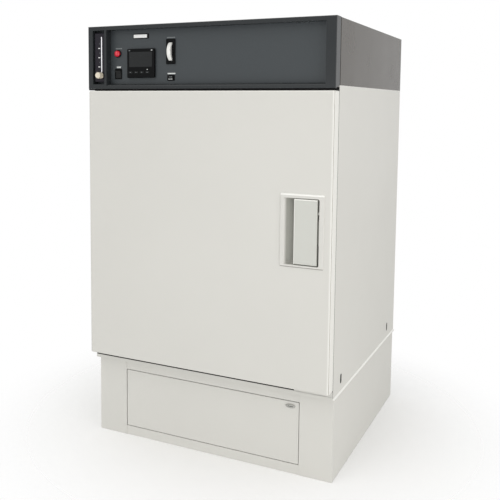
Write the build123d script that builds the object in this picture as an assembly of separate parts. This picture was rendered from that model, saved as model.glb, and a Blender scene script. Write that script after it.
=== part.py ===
from build123d import *
import os
from math import asin, cos, degrees, radians, sin, sqrt

# Cleanroom oven: a steel cabinet on a plinth, with a full-width insulated door hung on its left side
# and a dark control box on top. Air is drawn from the left duct over the heater, through a centrifugal
# fan at the back, and blown through a pleated filter on the right across the shelves.
# X runs to the right, Y to the back and Z up. The origin is on the floor, under the middle.

# Overall sizes
WIDTH = 880.0
DEPTH = 856.0
SHEET = 2.0
LINER_SHEET = 1.5
FIT = 0.3
RUN_FIT = 0.05

# Heights of the stacked sections
PLINTH_HEIGHT = 271.4
BASE_PLATE = 3.0
BODY_HEIGHT = 968.0
COVER_HEIGHT = 201.6

# Plinth
PLINTH_INSET = 2.6
PLINTH_SETBACK = 16.0
BASE_LEDGE = 4.5
POST_WIDTH = 111.0
RAIL_RECESS = 1.5
RAIL_TOP_HEIGHT = 31.0
RAIL_BOTTOM_HEIGHT = 32.0
RAIL_LIP = 10.0
POST_RETURN = 25.0
PANEL_GAP = 2.4
PANEL_RETURN = 12.0
PANEL_PIVOT = 4.5
PANEL_PIN_RADIUS = 2.5
PANEL_PIN_LENGTH = 6.0

# Oval lock of the plinth panel
LOCK_LENGTH = 33.0
LOCK_HEIGHT = 13.0
LOCK_PROUD = 4.0
LOCK_SHAFT_RADIUS = 4.0
LOCK_BEVEL = 1.0
GRIP_WIDTH = 2.0
LOCK_FROM_RIGHT = 28.5
LOCK_FROM_TOP = 14.4
CAM_LENGTH = 24.0
CAM_WIDTH = 9.0
CAM_THICK = 2.0
CAM_GAP = 0.6

# Cabinet
SHELL_FLANGE = 30.0
WALL = 70.0
REAR_WALL = 70.0
FRAME_SHEET = 2.0
LINER_FLANGE = 18.0
SLOT_WIDTH = 15.0
SLOT_HEIGHT = 32.0
SLOT_FROM_FACE = 82.0
SLOT_FROM_REAR = 114.0
SLOT_RISE = 27.0
CUP_DEPTH = 20.0
CUP_WALL = 2.0

# Door
DOOR_THICK = 38.0
DOOR_GAP = 3.7
DOOR_RISE = 29.0
DOOR_TOP_GAP = 5.0
DOOR_EDGE_RADIUS = 8.0
DOOR_RETURN = 22.0
PLUG_HEIGHT = 20.0
PLUG_CLEARANCE = 15.0
PLUG_RADIUS = 10.0
PLUG_REAR_GAP = 4.0
GASKET_WIDTH = 41.0
GASKET_SIDE_INSET = 0.5
GASKET_END_INSET = 6.0

# Door hinges, on the left side
HINGE_HEIGHT = 80.0
HINGE_PLATE = 3.0
HINGE_LEAF = 20.0
HINGE_LEAF_BODY = 44.0
KNUCKLE_SEAT = 1.5
HINGE_PIN_END = 1.0
KNUCKLE_RADIUS = 7.0
HINGE_PIN_RADIUS = 4.0
HINGE_FROM_END = 150.0
KNUCKLE_GAP = 0.5

# Handle
HANDLE_FROM_RIGHT = 96.0
HANDLE_CENTRE_RISE = 525.1
HANDLE_WIDTH = 142.0
HANDLE_CORNER = 5.0
HANDLE_PROUD = 3.5
HANDLE_BEVEL = 2.4
HANDLE_BORDER = 15.5
HANDLE_BORDER_TOP = 13.5
HANDLE_BORDER_BOTTOM = 7.5
DISH_HEIGHT = 206.0
DISH_DEPTH = 28.0
DISH_WALL = 2.0
DISH_CORNER = 5.0
# Depth behind the door's face, then how far the pocket narrows there at its left and at its ends
DISH_STEPS = ((-4.5, -6.0, 0.0), (0.0, 0.0, 0.0), (8.0, 4.0, 0.4), (16.0, 11.5, 1.6), (22.0, 20.0, 7.0),
              (28.0, 30.0, 20.0))
LEVER_WIDTH = 75.0
LEVER_GAP_RIGHT = 6.7
LEVER_GAP_END = 2.5
LEVER_PROUD = 1.5
LEVER_DEPTH = 12.0
LEVER_WALL = 2.5
LEVER_EDGE_RADIUS = 2.0
PIVOT_DEPTH = 9.0
PIVOT_FROM_EDGE = 6.3
PIVOT_RADIUS = 5.0
LEVER_PIN_RADIUS = 2.5
LUG_HEIGHT = 77.0
LUG_STEP = 7.5
KNUCKLE_HEIGHT = 42.0
PUSH_ARM = 6.0
PUSH_PIN_RADIUS = 4.0
PUSH_PIN_RISE = 20.0
PUSH_PIN_CHAMFER = 0.8
MAGNET_LENGTH = 70.0
MAGNET_WIDTH = 14.0
MAGNET_SPACING = 420.0
MAGNET_FROM_EDGE = 15.0
STRIKE_MARGIN = 4.0

# Ducts, screens and filter round the chamber
LEFT_DUCT = 62.0
RIGHT_PLENUM = 40.0
FILTER_THICK = 75.0
REAR_DUCT = 145.0
SUCTION_DUCT = 48.0
SCREEN_SHEET = 1.5
SCREEN_COLUMNS = 7
SCREEN_ROWS = 6
SCREEN_SLOT_WIDTH = 9.0
SCREEN_MARGIN = 35.0
SCREEN_BRIDGE = 18.0
FILTER_MARGIN = 12.0
FILTER_RIM = 14.0
PLEATS = 22
PLEAT_SPREAD = 14.0

# Shelves and racks
RACK_POST_WIDTH = 24.0
RACK_SHEET = 2.0
LEDGE_COUNT = 7
LEDGE_HEIGHT = 12.0
LEDGE_REACH = 16.0
RACK_MARGIN = 60.0
RACK_FROM_FRONT = 12.0
RACK_FROM_BACK = 10.0
SHELF_GAP = 3.0
SHELF_ROD_RADIUS = 4.0
SHELF_WIRE_RADIUS = 2.0
SHELF_CROSS_RADIUS = 3.0
SHELF_WIRES = 15
SHELF_CORNER = 22.0
SHELF_FRONT_GAP = 30.0
LOWER_SHELF_LEDGE = 1
UPPER_SHELF_LEDGE = 4

# Fan, motor and heater
FAN_RADIUS = 130.0
FAN_WIDTH = 62.0
FAN_EYE_RADIUS = 78.0
FAN_BLADES = 9
FAN_SHEET = 2.0
EYE_CLEARANCE = 4.0
BELL_RADIUS = 16.0
BELL_OVERLAP = 3.0
BLADE_ROOT = 0.82
BLADE_SWEEP = -38.0
HUB_RADIUS = 20.0
HUB_LENGTH = 34.0
SHAFT_RADIUS = 8.0
SHAFT_HOLE_RADIUS = 14.0
MOTOR_RADIUS = 52.0
MOTOR_END_RADIUS = 42.0
MOTOR_END = 12.0
MOTOR_FIN_WIDTH = 2.0
MOTOR_BAY = 104.0
MOTOR_REAR_GAP = 10.0
MOTOR_LEGS = 26.0
MOTOR_LEG_RADIUS = 6.0
SHAFT_GRIP = 22.0
COLLAR_LENGTH = 6.0
COLLAR_RADIUS = 16.0
MOTOR_FLANGE = 132.0
MOTOR_FLANGE_THICK = 5.0
MOTOR_FINS = 16
MOTOR_FIN_HEIGHT = 5.0
COOLING_DISC_RADIUS = 30.0
HEATER_ROD_RADIUS = 5.0
HEATER_BEND_RADIUS = 28.0
HEATER_LOOPS = 4
HEATER_PITCH = 150.0

# Rear of the cabinet
VENT_SLOTS = 7
VENT_LENGTH = 90.0
VENT_HEIGHT = 7.0
VENT_PITCH = 18.0
SPIGOT_RADIUS = 30.0
SPIGOT_WALL = 2.0
SPIGOT_REACH = 70.0
SPIGOT_COLLAR = 9.0
HOSE_GRIP = 40.0
HOSE_BEAD = 2.0
SPIGOT_FROM_RIGHT = 210.0
SPIGOT_FROM_TOP = 150.0
DAMPER_SHAFT_RADIUS = 3.0
DAMPER_FROM_WALL = 18.0
DAMPER_LEVER = 34.0
DAMPER_LEVER_WIDTH = 8.0
HOSE_ROOM = 10.0
SCREW_HEAD_RADIUS = 4.0
SCREW_TOP_RADIUS = 2.8
SCREW_HEAD_HEIGHT = 2.6
SCREW_INSET = 12.0

# Control box
BEZEL_DROP = 10.4
BEZEL_EDGE_RADIUS = 3.0
BEZEL_TOP = 13.5
BEZEL_LIP = 17.0
BEZEL_LIP_RADIUS = 9.0
BEZEL_LEFT = 19.2
BEZEL_RIGHT = 31.0
FLOW_SLOT_WIDTH = 46.6
PILLAR_WIDTH = 9.0
RECESS_DEPTH = 27.5
COVER_SEAM = 5.0
COVER_TONGUE = 8.0
PANEL_SHEET = 2.0

# Pieces on the control panel: centres from the left edge of the oven and from the recess's middle
CONTROLLER_X = 199.2
CONTROLLER_RISE = -21.2
CONTROLLER_WIDTH = 106.0
CONTROLLER_HEIGHT = 96.0
CONTROLLER_PROUD = 10.0
CONTROLLER_BEVEL = 1.5
CONTROLLER_BODY = 90.0
CONTROLLER_DEPTH = 62.0
SCREEN_WIDTH = 90.0
SCREEN_HEIGHT = 50.0
SCREEN_RISE = 13.0
SCREEN_THICK = 1.5
SCREEN_INSET = 0.5
KEY_COUNT = 4
KEY_WIDTH = 14.0
KEY_HEIGHT = 8.0
KEY_PITCH = 22.0
KEY_DROP = 30.0
KEY_SHIFT = -6.0
KEY_CORNER = 1.2
KEY_PROUD = 0.8
KEY_TRAVEL = 0.6
KEY_LENGTH = 4.0
LAMP_X = 105.0
LAMP_RISE = 12.8
LAMP_RADIUS = 10.3
LAMP_BASE_RADIUS = 12.6
LAMP_BASE_CHAMFER = 1.5
LAMP_BASE_HEIGHT = 4.0
LAMP_REACH = 11.0
LAMP_DOME_RADIUS = 11.6
LAMP_BODY_DEPTH = 26.0
ROCKER_X = 106.0
ROCKER_RISE = -55.4
ROCKER_WIDTH = 28.0
ROCKER_HEIGHT = 35.0
SMALL_ROCKER_X = 312.0
SMALL_ROCKER_RISE = -70.0
SMALL_ROCKER_WIDTH = 27.5
SMALL_ROCKER_HEIGHT = 19.0
FRAME_PROUD = 2.5
FRAME_BEVEL = 0.8
FRAME_CORNER = 2.0
FRAME_RIM = 1.5
FRAME_WALL = 2.0
PIVOT_BEHIND = 3.5
PIVOT_STUB = 1.5
ROCKER_TAIL = 4.0
ROCKER_SWING = 3.0
ROCKER_RISE_END = 0.8
ROCKER_DISH = 2.0
ROCKER_TILT = 8.0
DIAL_X = 311.4
DIAL_RISE = 15.2
DIAL_WIDTH = 33.0
DIAL_HEIGHT = 81.5
DIAL_PROUD = 5.0
DIAL_BEVEL = 1.0
WHEEL_RADIUS = 36.0
WHEEL_WIDTH = 13.0
WHEEL_AXIS_DEPTH = 17.0
WHEEL_CLEARANCE = 0.8
WHEEL_RIM = 6.0
AXLE_RADIUS = 3.0
WHEEL_HUB_RADIUS = 6.0
WHEEL_WEB = 6.5
WHEEL_CHAMFER = 1.0
AXLE_LENGTH = 3.0
PLATE_X = 196.3
PLATE_RISE = 68.8
PLATE_WIDTH = 60.0
PLATE_HEIGHT = 16.0
PLATE_THICK = 2.5
PLATE_CORNER = 1.5
PLATE_BEVEL = 0.8

# Flow meter in its own slot
FLOW_BODY_WIDTH = 41.0
FLOW_BODY_INSET = 7.0
FLOW_BODY_GAP = 8.0
FLOW_CENTRE_X = 49.2
FLOW_TUBE_RADIUS = 4.6
FLOW_TUBE_BORE = 3.4
FLOW_FLOAT_RADIUS = 3.0
FLOW_VALVE_ZONE = 30.0
FLOW_TOP_ZONE = 10.0
FLOW_KNOB_RISE = 22.0
FLOW_BODY_BEVEL = 1.5
FLOW_KNOB_RADIUS = 10.5
FLOW_KNOB_LENGTH = 23.0
FLOW_STEM_RADIUS = 3.0
FLOW_STEM_DEPTH = 14.0
FLOW_FRONT_WALL = 3.0
FLOW_WINDOW = 6.0
FLUTE_RADIUS = 2.2
FLOW_KNOB_FLUTES = 14

# Rear fittings of the control box
GLAND_FROM_LEFT = 190.0
GLAND_RISE = 45.0
GLAND_RADIUS = 14.0
GLAND_NUT_RADIUS = 12.6
GLAND_TIP_RADIUS = 9.8
GLAND_DOME = 6.0
GLAND_LENGTH = 26.0
GLAND_BORE = 6.5
GLAND_THREAD = 10.0
GLAND_HEX_LENGTH = 6.0
GLAND_TAIL = 10.0
INLET_FROM_LEFT = 110.0
INLET_RISE = 45.0
INLET_HEX = 19.0
INLET_RADIUS = 4.0
INLET_LENGTH = 34.0
INLET_BORE = 2.4
INLET_HEX_LENGTH = 11.0

# Places worked out from the sizes above
body_bottom = PLINTH_HEIGHT + BASE_PLATE
body_top = body_bottom + BODY_HEIGHT
oven_top = body_top + COVER_HEIGHT
x_left = -WIDTH / 2
x_right = WIDTH / 2
y_front = -DEPTH / 2
y_rear = DEPTH / 2
y_door_back = y_front + DOOR_THICK
y_face = y_door_back + DOOR_GAP
plinth_left = x_left + PLINTH_INSET
plinth_right = x_right - PLINTH_INSET
plinth_front = y_face + PLINTH_SETBACK
door_bottom = body_bottom + DOOR_RISE
bezel_bottom = body_top - BEZEL_DROP
door_top = bezel_bottom - DOOR_TOP_GAP
chamber_half = WIDTH / 2 - SHEET - WALL
chamber_bottom = body_bottom + SHEET + WALL
chamber_top = body_top - SHEET - WALL
y_liner_front = y_face + FRAME_SHEET
y_motor_face = y_rear - MOTOR_BAY
y_chamber_back = y_motor_face - REAR_WALL
x_left_screen = -chamber_half + LINER_SHEET + LEFT_DUCT
x_right_screen = chamber_half - LINER_SHEET - RIGHT_PLENUM - FILTER_THICK
y_duct_plate = y_chamber_back - LINER_SHEET - REAR_DUCT
y_partition = y_duct_plate + SUCTION_DUCT
y_screen_front = y_liner_front + PLUG_HEIGHT + PLUG_REAR_GAP
z_chamber_mid = (chamber_bottom + chamber_top) / 2
inner_floor = chamber_bottom + LINER_SHEET
inner_roof = chamber_top - LINER_SHEET
inner_left = -chamber_half + LINER_SHEET
inner_right = chamber_half - LINER_SHEET
x_chamber_mid = (x_left_screen + SCREEN_SHEET + x_right_screen) / 2
x_fan = x_chamber_mid
rack_left = x_left_screen + SCREEN_SHEET
rack_right = x_right_screen
filter_x0 = x_right_screen + SCREEN_SHEET
filter_x1 = x_right_screen + FILTER_THICK
filter_y0 = y_screen_front + SCREEN_SHEET
heater_x = (inner_left + x_left_screen) / 2
fan_y0 = y_partition + BELL_RADIUS - BELL_OVERLAP
motor_y = y_motor_face + MOTOR_LEGS
motor_length = MOTOR_BAY - MOTOR_LEGS - MOTOR_FLANGE_THICK - MOTOR_REAR_GAP
slot_left = x_left + BEZEL_LEFT
slot_right = slot_left + FLOW_SLOT_WIDTH
recess_left = slot_right + PILLAR_WIDTH
recess_right = x_right - BEZEL_RIGHT
handle_z = body_bottom + HANDLE_CENTRE_RISE
recess_bottom = bezel_bottom + BEZEL_LIP
recess_top = oven_top - BEZEL_TOP
recess_mid = (recess_bottom + recess_top) / 2
y_panel = y_front + RECESS_DEPTH
z_spigot = chamber_top - SPIGOT_FROM_TOP
spigot_x = x_right - SPIGOT_FROM_RIGHT
gland_x = x_left + GLAND_FROM_LEFT
inlet_x = x_left + INLET_FROM_LEFT
y_hinge = y_door_back + DOOR_GAP / 2
x_hinge = x_left - KNUCKLE_RADIUS - FIT


def block(x0, x1, y0, y1, z0, z1):
    """Box between two corners."""
    return Pos((x0 + x1) / 2, (y0 + y1) / 2, (z0 + z1) / 2) * Box(x1 - x0, y1 - y0, z1 - z0)


def rod_x(x0, x1, y, z, radius):
    """Round bar along X."""
    return Pos((x0 + x1) / 2, y, z) * Rot(0, 90, 0) * Cylinder(radius, x1 - x0)


def rod_y(y0, y1, x, z, radius):
    """Round bar along Y."""
    return Pos(x, (y0 + y1) / 2, z) * Rot(90, 0, 0) * Cylinder(radius, y1 - y0)


def rod_z(z0, z1, x, y, radius):
    """Round bar along Z."""
    return Pos(x, y, (z0 + z1) / 2) * Cylinder(radius, z1 - z0)


def facing_front(sketch, x, y, z, length):
    """Sketch drawn as seen from the front, with its top up, extruded backwards from y."""
    return extrude(Plane(origin=(x, y, z), x_dir=(1, 0, 0), z_dir=(0, -1, 0)) * sketch, -length)


def along_x(points, x0, x1):
    """Outline of (y, z) points extruded from x0 to x1."""
    plane = Plane(origin=(x0, 0, 0), x_dir=(0, 1, 0), z_dir=(1, 0, 0))
    return extrude(plane * make_face(Polyline(*points, close=True)), x1 - x0)


def along_y(points, y0, y1):
    """Outline of (x, z) points extruded from y0 to y1."""
    plane = Plane(origin=(0, y0, 0), x_dir=(1, 0, 0), z_dir=(0, -1, 0))
    return extrude(plane * make_face(Polyline(*points, close=True)), y0 - y1)


def along_z(points, z0, z1):
    """Outline of (x, y) points extruded from z0 to z1."""
    plane = Plane(origin=(0, 0, z0), x_dir=(1, 0, 0), z_dir=(0, 0, 1))
    return extrude(plane * make_face(Polyline(*points, close=True)), z1 - z0)


def turned(face, x, z):
    """Face drawn in (radius, y), turned about a line along Y."""
    plane = Plane(origin=(x, 0, z), x_dir=(1, 0, 0), z_dir=(0, 0, 1))
    return revolve(plane * face, Axis((x, 0, z), (0, 1, 0)))


def turned_y(points, x, z):
    """Outline of (radius, y) points turned about a line along Y."""
    return turned(make_face(Polyline(*points, close=True)), x, z)


def group(solids):
    """Separate solids kept together in one node."""
    return Compound(children=list(solids))


# Plinth

rail_y = plinth_front + RAIL_RECESS
opening_left = plinth_left + POST_WIDTH
opening_right = plinth_right - POST_WIDTH
opening_top = PLINTH_HEIGHT - RAIL_TOP_HEIGHT
panel_left = opening_left + PANEL_GAP
panel_right = opening_right - PANEL_GAP
panel_top = opening_top - PANEL_GAP
panel_bottom = RAIL_BOTTOM_HEIGHT + PANEL_GAP
pivot_x = panel_left + PANEL_PIVOT
pivot_y = rail_y + PANEL_PIVOT
lock_x = panel_right - LOCK_FROM_RIGHT
lock_z = panel_top - LOCK_FROM_TOP


def plinth_shell():
    """Box of folded sheet with a floor, corner posts, two front rails and an overhanging top plate."""
    walls = block(plinth_left, plinth_right, plinth_front, y_rear, 0, PLINTH_HEIGHT)
    walls -= block(plinth_left + SHEET, plinth_right - SHEET, plinth_front + SHEET, y_rear - SHEET,
                   -1, PLINTH_HEIGHT + 1)
    walls -= block(opening_left, opening_right, plinth_front - 1, plinth_front + SHEET + 1,
                   -1, PLINTH_HEIGHT + 1)
    walls += block(plinth_left, plinth_right, rail_y, y_rear, 0, SHEET)
    for post_x in (opening_left - SHEET, opening_right):
        walls += block(post_x, post_x + SHEET, plinth_front, plinth_front + POST_RETURN, 0, PLINTH_HEIGHT)
    walls += block(opening_left, opening_right, rail_y, rail_y + SHEET, opening_top, PLINTH_HEIGHT)
    walls += block(opening_left, opening_right, rail_y, rail_y + SHEET + RAIL_LIP, opening_top,
                   opening_top + SHEET)
    walls += block(opening_left, opening_right, rail_y, rail_y + SHEET, 0, RAIL_BOTTOM_HEIGHT)
    walls += block(opening_left, opening_right, rail_y, rail_y + SHEET + RAIL_LIP,
                   RAIL_BOTTOM_HEIGHT - SHEET, RAIL_BOTTOM_HEIGHT)
    for z in (opening_top, RAIL_BOTTOM_HEIGHT):
        walls -= rod_z(z - 3 * SHEET, z + 3 * SHEET, pivot_x, pivot_y, PANEL_PIN_RADIUS + RUN_FIT)
    top = block(x_left - BASE_LEDGE, x_right + BASE_LEDGE, plinth_front, y_rear,
                PLINTH_HEIGHT, PLINTH_HEIGHT + BASE_PLATE)
    return walls + top


def access_panel():
    """Shallow pan that swings on two studs at its left edge."""
    pan = block(panel_left, panel_right, rail_y, rail_y + PANEL_RETURN, panel_bottom, panel_top)
    pan -= block(panel_left + SHEET, panel_right - SHEET, rail_y + SHEET, rail_y + PANEL_RETURN + 1,
                 panel_bottom + SHEET, panel_top - SHEET)
    for z, step in ((panel_top, 1), (panel_bottom, -1)):
        ends = sorted((z - step * SHEET, z + step * PANEL_PIN_LENGTH))
        pan += rod_z(ends[0], ends[1], pivot_x, pivot_y, PANEL_PIN_RADIUS)
    return pan - rod_y(rail_y - 1, rail_y + SHEET + 1, lock_x, lock_z, LOCK_SHAFT_RADIUS + RUN_FIT)


def panel_lock():
    """Oval quarter-turn knob with its shaft and the cam behind the panel, unlocked."""
    cam_y = rail_y + max(PANEL_RETURN, SHEET + RAIL_LIP) + CAM_GAP
    knob = facing_front(Ellipse(LOCK_LENGTH / 2, LOCK_HEIGHT / 2), lock_x, rail_y - LOCK_PROUD, lock_z,
                        LOCK_PROUD - FIT)
    knob = chamfer(knob.faces().sort_by(Axis.Y)[0].edges(), LOCK_BEVEL)
    grip = block(lock_x - LOCK_LENGTH / 4, lock_x + LOCK_LENGTH / 4, rail_y - LOCK_PROUD - 1,
                 rail_y - LOCK_PROUD / 2, lock_z - GRIP_WIDTH / 2, lock_z + GRIP_WIDTH / 2)
    shaft = rod_y(rail_y - LOCK_PROUD / 2, cam_y + CAM_THICK, lock_x, lock_z, LOCK_SHAFT_RADIUS)
    cam = block(lock_x - CAM_LENGTH, lock_x + CAM_WIDTH / 2, cam_y, cam_y + CAM_THICK,
                lock_z - CAM_WIDTH / 2, lock_z + CAM_WIDTH / 2)
    return knob - grip + shaft + cam


# Cabinet

def cabinet_shell():
    """Folded outer wrap with front and rear flanges and four carrying slots."""
    outer = block(x_left, x_right, y_face, y_rear, body_bottom, body_top)
    hollow = block(x_left + SHEET, x_right - SHEET, y_face + SHEET, y_rear - 2 * SHEET,
                   body_bottom + SHEET, body_top - SHEET)
    mouth = block(x_left + SHELL_FLANGE, x_right - SHELL_FLANGE, y_face - 1, y_face + SHEET + 1,
                  body_bottom + SHELL_FLANGE, body_top - SHELL_FLANGE)
    seat = block(x_left + SHEET, x_right - SHEET, y_rear - SHEET, y_rear + 1,
                 body_bottom + SHEET, body_top - SHEET)
    rear = block(x_left + SHELL_FLANGE, x_right - SHELL_FLANGE, y_rear - 2 * SHEET - 1, y_rear,
                 body_bottom + SHELL_FLANGE, body_top - SHELL_FLANGE)
    shell = outer - hollow - mouth - seat - rear
    slot = Rot(0, 90, 0) * extrude(SlotOverall(SLOT_HEIGHT, SLOT_WIDTH), WIDTH, both=True)
    for y in (y_face + SLOT_FROM_FACE, y_rear - SLOT_FROM_REAR):
        shell -= Pos(0, y, body_bottom + SLOT_RISE + SLOT_HEIGHT / 2) * slot
    return shell


def cup_places(grow):
    """Oblong blocks behind the carrying slots, as deep and as large as a cup with this much round it."""
    height = SLOT_HEIGHT + 2 * grow
    width = SLOT_WIDTH + 2 * grow
    x = x_right - SHEET - (CUP_DEPTH + grow) / 2
    for y in (y_face + SLOT_FROM_FACE, y_rear - SLOT_FROM_REAR):
        for side in (-1, 1):
            place = Pos(side * x, y, body_bottom + SLOT_RISE + SLOT_HEIGHT / 2) * Rot(0, 90, 0)
            yield place * extrude(SlotOverall(height, width), (CUP_DEPTH + grow) / 2, both=True)


def slot_cups():
    """Black cups behind the carrying slots."""
    return group([outer - inner for outer, inner in zip(cup_places(CUP_WALL), cup_places(0))])


def front_frame():
    """Stainless face frame between the shell's flange and the chamber mouth."""
    frame = block(x_left + SHELL_FLANGE + FIT, x_right - SHELL_FLANGE - FIT, y_face, y_face + FRAME_SHEET,
                  body_bottom + SHELL_FLANGE + FIT, body_top - SHELL_FLANGE - FIT)
    mouth = block(-chamber_half + LINER_SHEET, chamber_half - LINER_SHEET, y_face - 1,
                  y_face + FRAME_SHEET + 1, inner_floor, inner_roof)
    return frame - mouth


def rear_holes(radius_fit):
    """Clearance for the fan shaft and the exhaust spigot through the back walls."""
    shaft = rod_y(y_chamber_back - REAR_DUCT, y_rear, x_fan, z_chamber_mid, SHAFT_HOLE_RADIUS)
    spigot = rod_y(y_chamber_back - REAR_DUCT, y_rear + 1, spigot_x, z_spigot, SPIGOT_RADIUS + radius_fit)
    return shaft + spigot


def chamber_liner():
    """Stainless box, open at the front, with a flange behind the face frame."""
    box = block(-chamber_half, chamber_half, y_liner_front, y_chamber_back, chamber_bottom, chamber_top)
    flange = block(-chamber_half - LINER_FLANGE, chamber_half + LINER_FLANGE, y_liner_front,
                   y_liner_front + LINER_SHEET, chamber_bottom - LINER_FLANGE, chamber_top + LINER_FLANGE)
    hollow = block(-chamber_half + LINER_SHEET, chamber_half - LINER_SHEET, y_liner_front - 1,
                   y_chamber_back - LINER_SHEET, inner_floor, inner_roof)
    return box + flange - hollow - rear_holes(FIT)


def insulation():
    """Mineral wool round the liner, filling the wall."""
    wool = block(x_left + SHEET + FIT, x_right - SHEET - FIT,
                 y_liner_front + LINER_SHEET + FIT, y_motor_face,
                 body_bottom + SHEET + FIT, body_top - SHEET - FIT)
    liner = block(-chamber_half - FIT, chamber_half + FIT, y_face, y_chamber_back + FIT,
                  chamber_bottom - FIT, chamber_top + FIT)
    for cup in cup_places(CUP_WALL + FIT):
        wool -= cup
    return wool - liner - rear_holes(FIT)


def rear_panel():
    """Back cover with two stacks of vent slots and the spigot's hole."""
    panel = block(x_left + SHEET + FIT, x_right - SHEET - FIT, y_rear - SHEET, y_rear,
                  body_bottom + SHEET + FIT, body_top - SHEET - FIT)
    panel -= rod_y(y_rear - 2 * SHEET, y_rear + 1, spigot_x, z_spigot, SPIGOT_RADIUS + FIT)
    slot = facing_front(SlotOverall(VENT_LENGTH, VENT_HEIGHT), x_fan, y_rear - 2 * SHEET, 0, 4 * SHEET)
    for row in range(VENT_SLOTS):
        for z in (body_bottom + WALL, z_chamber_mid - VENT_PITCH * (VENT_SLOTS - 1) / 2):
            panel -= Pos(0, 0, z + row * VENT_PITCH) * slot
    return panel


def screw_places():
    """Places (x, z) of the screws round the back cover."""
    for x in (x_left + SHEET + SCREW_INSET, 0, x_right - SHEET - SCREW_INSET):
        yield x, body_bottom + SHEET + SCREW_INSET
        yield x, body_top - SHEET - SCREW_INSET
    for x in (x_left + SHEET + SCREW_INSET, x_right - SHEET - SCREW_INSET):
        yield x, z_chamber_mid


def cover_screws():
    """Pan-head screws that hold the back cover."""
    tip = y_rear + SCREW_HEAD_HEIGHT
    head = [(0, y_rear), (SCREW_HEAD_RADIUS, y_rear), (SCREW_HEAD_RADIUS, y_rear + SCREW_HEAD_HEIGHT / 2),
            (SCREW_TOP_RADIUS, tip), (0, tip)]
    return group([turned_y(head, x, z).solid() for x, z in screw_places()])


def left_hinges(zs):
    """Lift-off hinges: leaf plates with knuckles for the door, and with pins for the cabinet."""
    door_leaves = []
    body_leaves = []
    reach = KNUCKLE_RADIUS + KNUCKLE_SEAT
    inner = x_left - HINGE_PLATE
    for z in zs:
        low = z - HINGE_HEIGHT / 2
        high = z + HINGE_HEIGHT / 2
        leaf = block(inner, x_left, y_hinge - reach - HINGE_LEAF + FIT, y_hinge - reach, low, high)
        leaf += block(inner, x_left, y_hinge - reach - 1, y_hinge - DOOR_GAP / 2, z + KNUCKLE_GAP, high)
        leaf += rod_z(z + KNUCKLE_GAP, high, x_hinge, y_hinge, KNUCKLE_RADIUS)
        leaf -= rod_z(z - 1, high - HINGE_PLATE, x_hinge, y_hinge, HINGE_PIN_RADIUS + RUN_FIT)
        door_leaves.append(leaf)
        leaf = block(inner, x_left, y_hinge + reach, y_hinge + reach + HINGE_LEAF_BODY, low, high)
        leaf += block(inner, x_left, y_hinge + DOOR_GAP / 2, y_hinge + reach + 1, low, z)
        leaf += rod_z(low, z, x_hinge, y_hinge, KNUCKLE_RADIUS)
        leaf += rod_z(z - 1, high - HINGE_PLATE - HINGE_PIN_END, x_hinge, y_hinge, HINGE_PIN_RADIUS)
        body_leaves.append(leaf)
    return group(door_leaves), group(body_leaves)


# Door

handle_x = x_right - HANDLE_FROM_RIGHT
dish_left = handle_x - HANDLE_WIDTH / 2 + HANDLE_BORDER
dish_right = handle_x + HANDLE_WIDTH / 2 - HANDLE_BORDER
dish_half = DISH_HEIGHT / 2
lever_right = dish_right - LEVER_GAP_RIGHT
lever_left = lever_right - LEVER_WIDTH
lever_half = dish_half - LEVER_GAP_END
axis_x = lever_right - PIVOT_FROM_EDGE
axis_y = y_front + PIVOT_DEPTH
push_x = axis_x + PUSH_ARM
push_z = handle_z + LUG_HEIGHT / 2 + PUSH_PIN_RISE


def dish(grow):
    """Scooped pocket with a soft left lip and sloping ends, as large as this much round it."""
    sections = []
    for depth, side, end in DISH_STEPS:
        left = dish_left + side - grow
        right = dish_right + grow
        half = dish_half - end + grow
        plane = Plane(origin=((left + right) / 2, y_front + depth * (1 + grow / DISH_DEPTH), handle_z),
                      x_dir=(1, 0, 0), z_dir=(0, -1, 0))
        sections.append(plane * RectangleRounded(right - left, 2 * half, DISH_CORNER + grow))
    return loft(sections)


def door_shell():
    """Painted outer pan with rounded front edges, folded returns and the handle's cut-out."""
    pan = block(x_left, x_right, y_front, y_door_back, door_bottom, door_top)
    pan = fillet(pan.faces().sort_by(Axis.Y)[0].edges().filter_by(Axis.Z), DOOR_EDGE_RADIUS)
    level = pan.faces().sort_by(Axis.Y)[0].edges().filter_by(Axis.X)
    pan = fillet(level, DOOR_EDGE_RADIUS / 2)
    pan -= block(x_left + SHEET, x_right - SHEET, y_front + SHEET, y_door_back - SHEET,
                 door_bottom + SHEET, door_top - SHEET)
    pan -= block(x_left + DOOR_RETURN, x_right - DOOR_RETURN, y_door_back - SHEET - 1, y_door_back + 1,
                 door_bottom + DOOR_RETURN, door_top - DOOR_RETURN)
    return pan - block(dish_left - DISH_WALL - FIT, dish_right + DISH_WALL + FIT, y_front - 1,
                       y_front + SHEET + 1, handle_z - dish_half - DISH_WALL - FIT,
                       handle_z + dish_half + DISH_WALL + FIT)


def door_insulation():
    """Wool slab in the door, with room for the handle's dish and the push-off pin."""
    slab = block(x_left + SHEET + DOOR_EDGE_RADIUS / 2, x_right - SHEET - DOOR_EDGE_RADIUS / 2,
                 y_front + SHEET + FIT, y_door_back - SHEET - FIT,
                 door_bottom + SHEET + FIT, door_top - SHEET - FIT)
    slab -= block(dish_left - DISH_WALL - FIT, dish_right + DISH_WALL + FIT, y_front,
                  y_front + DISH_DEPTH + DISH_WALL + FIT, handle_z - dish_half - DISH_WALL - FIT,
                  handle_z + dish_half + DISH_WALL + FIT)
    return slab - rod_y(y_front, y_door_back, push_x, push_z, PUSH_PIN_RADIUS + 1)


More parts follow.
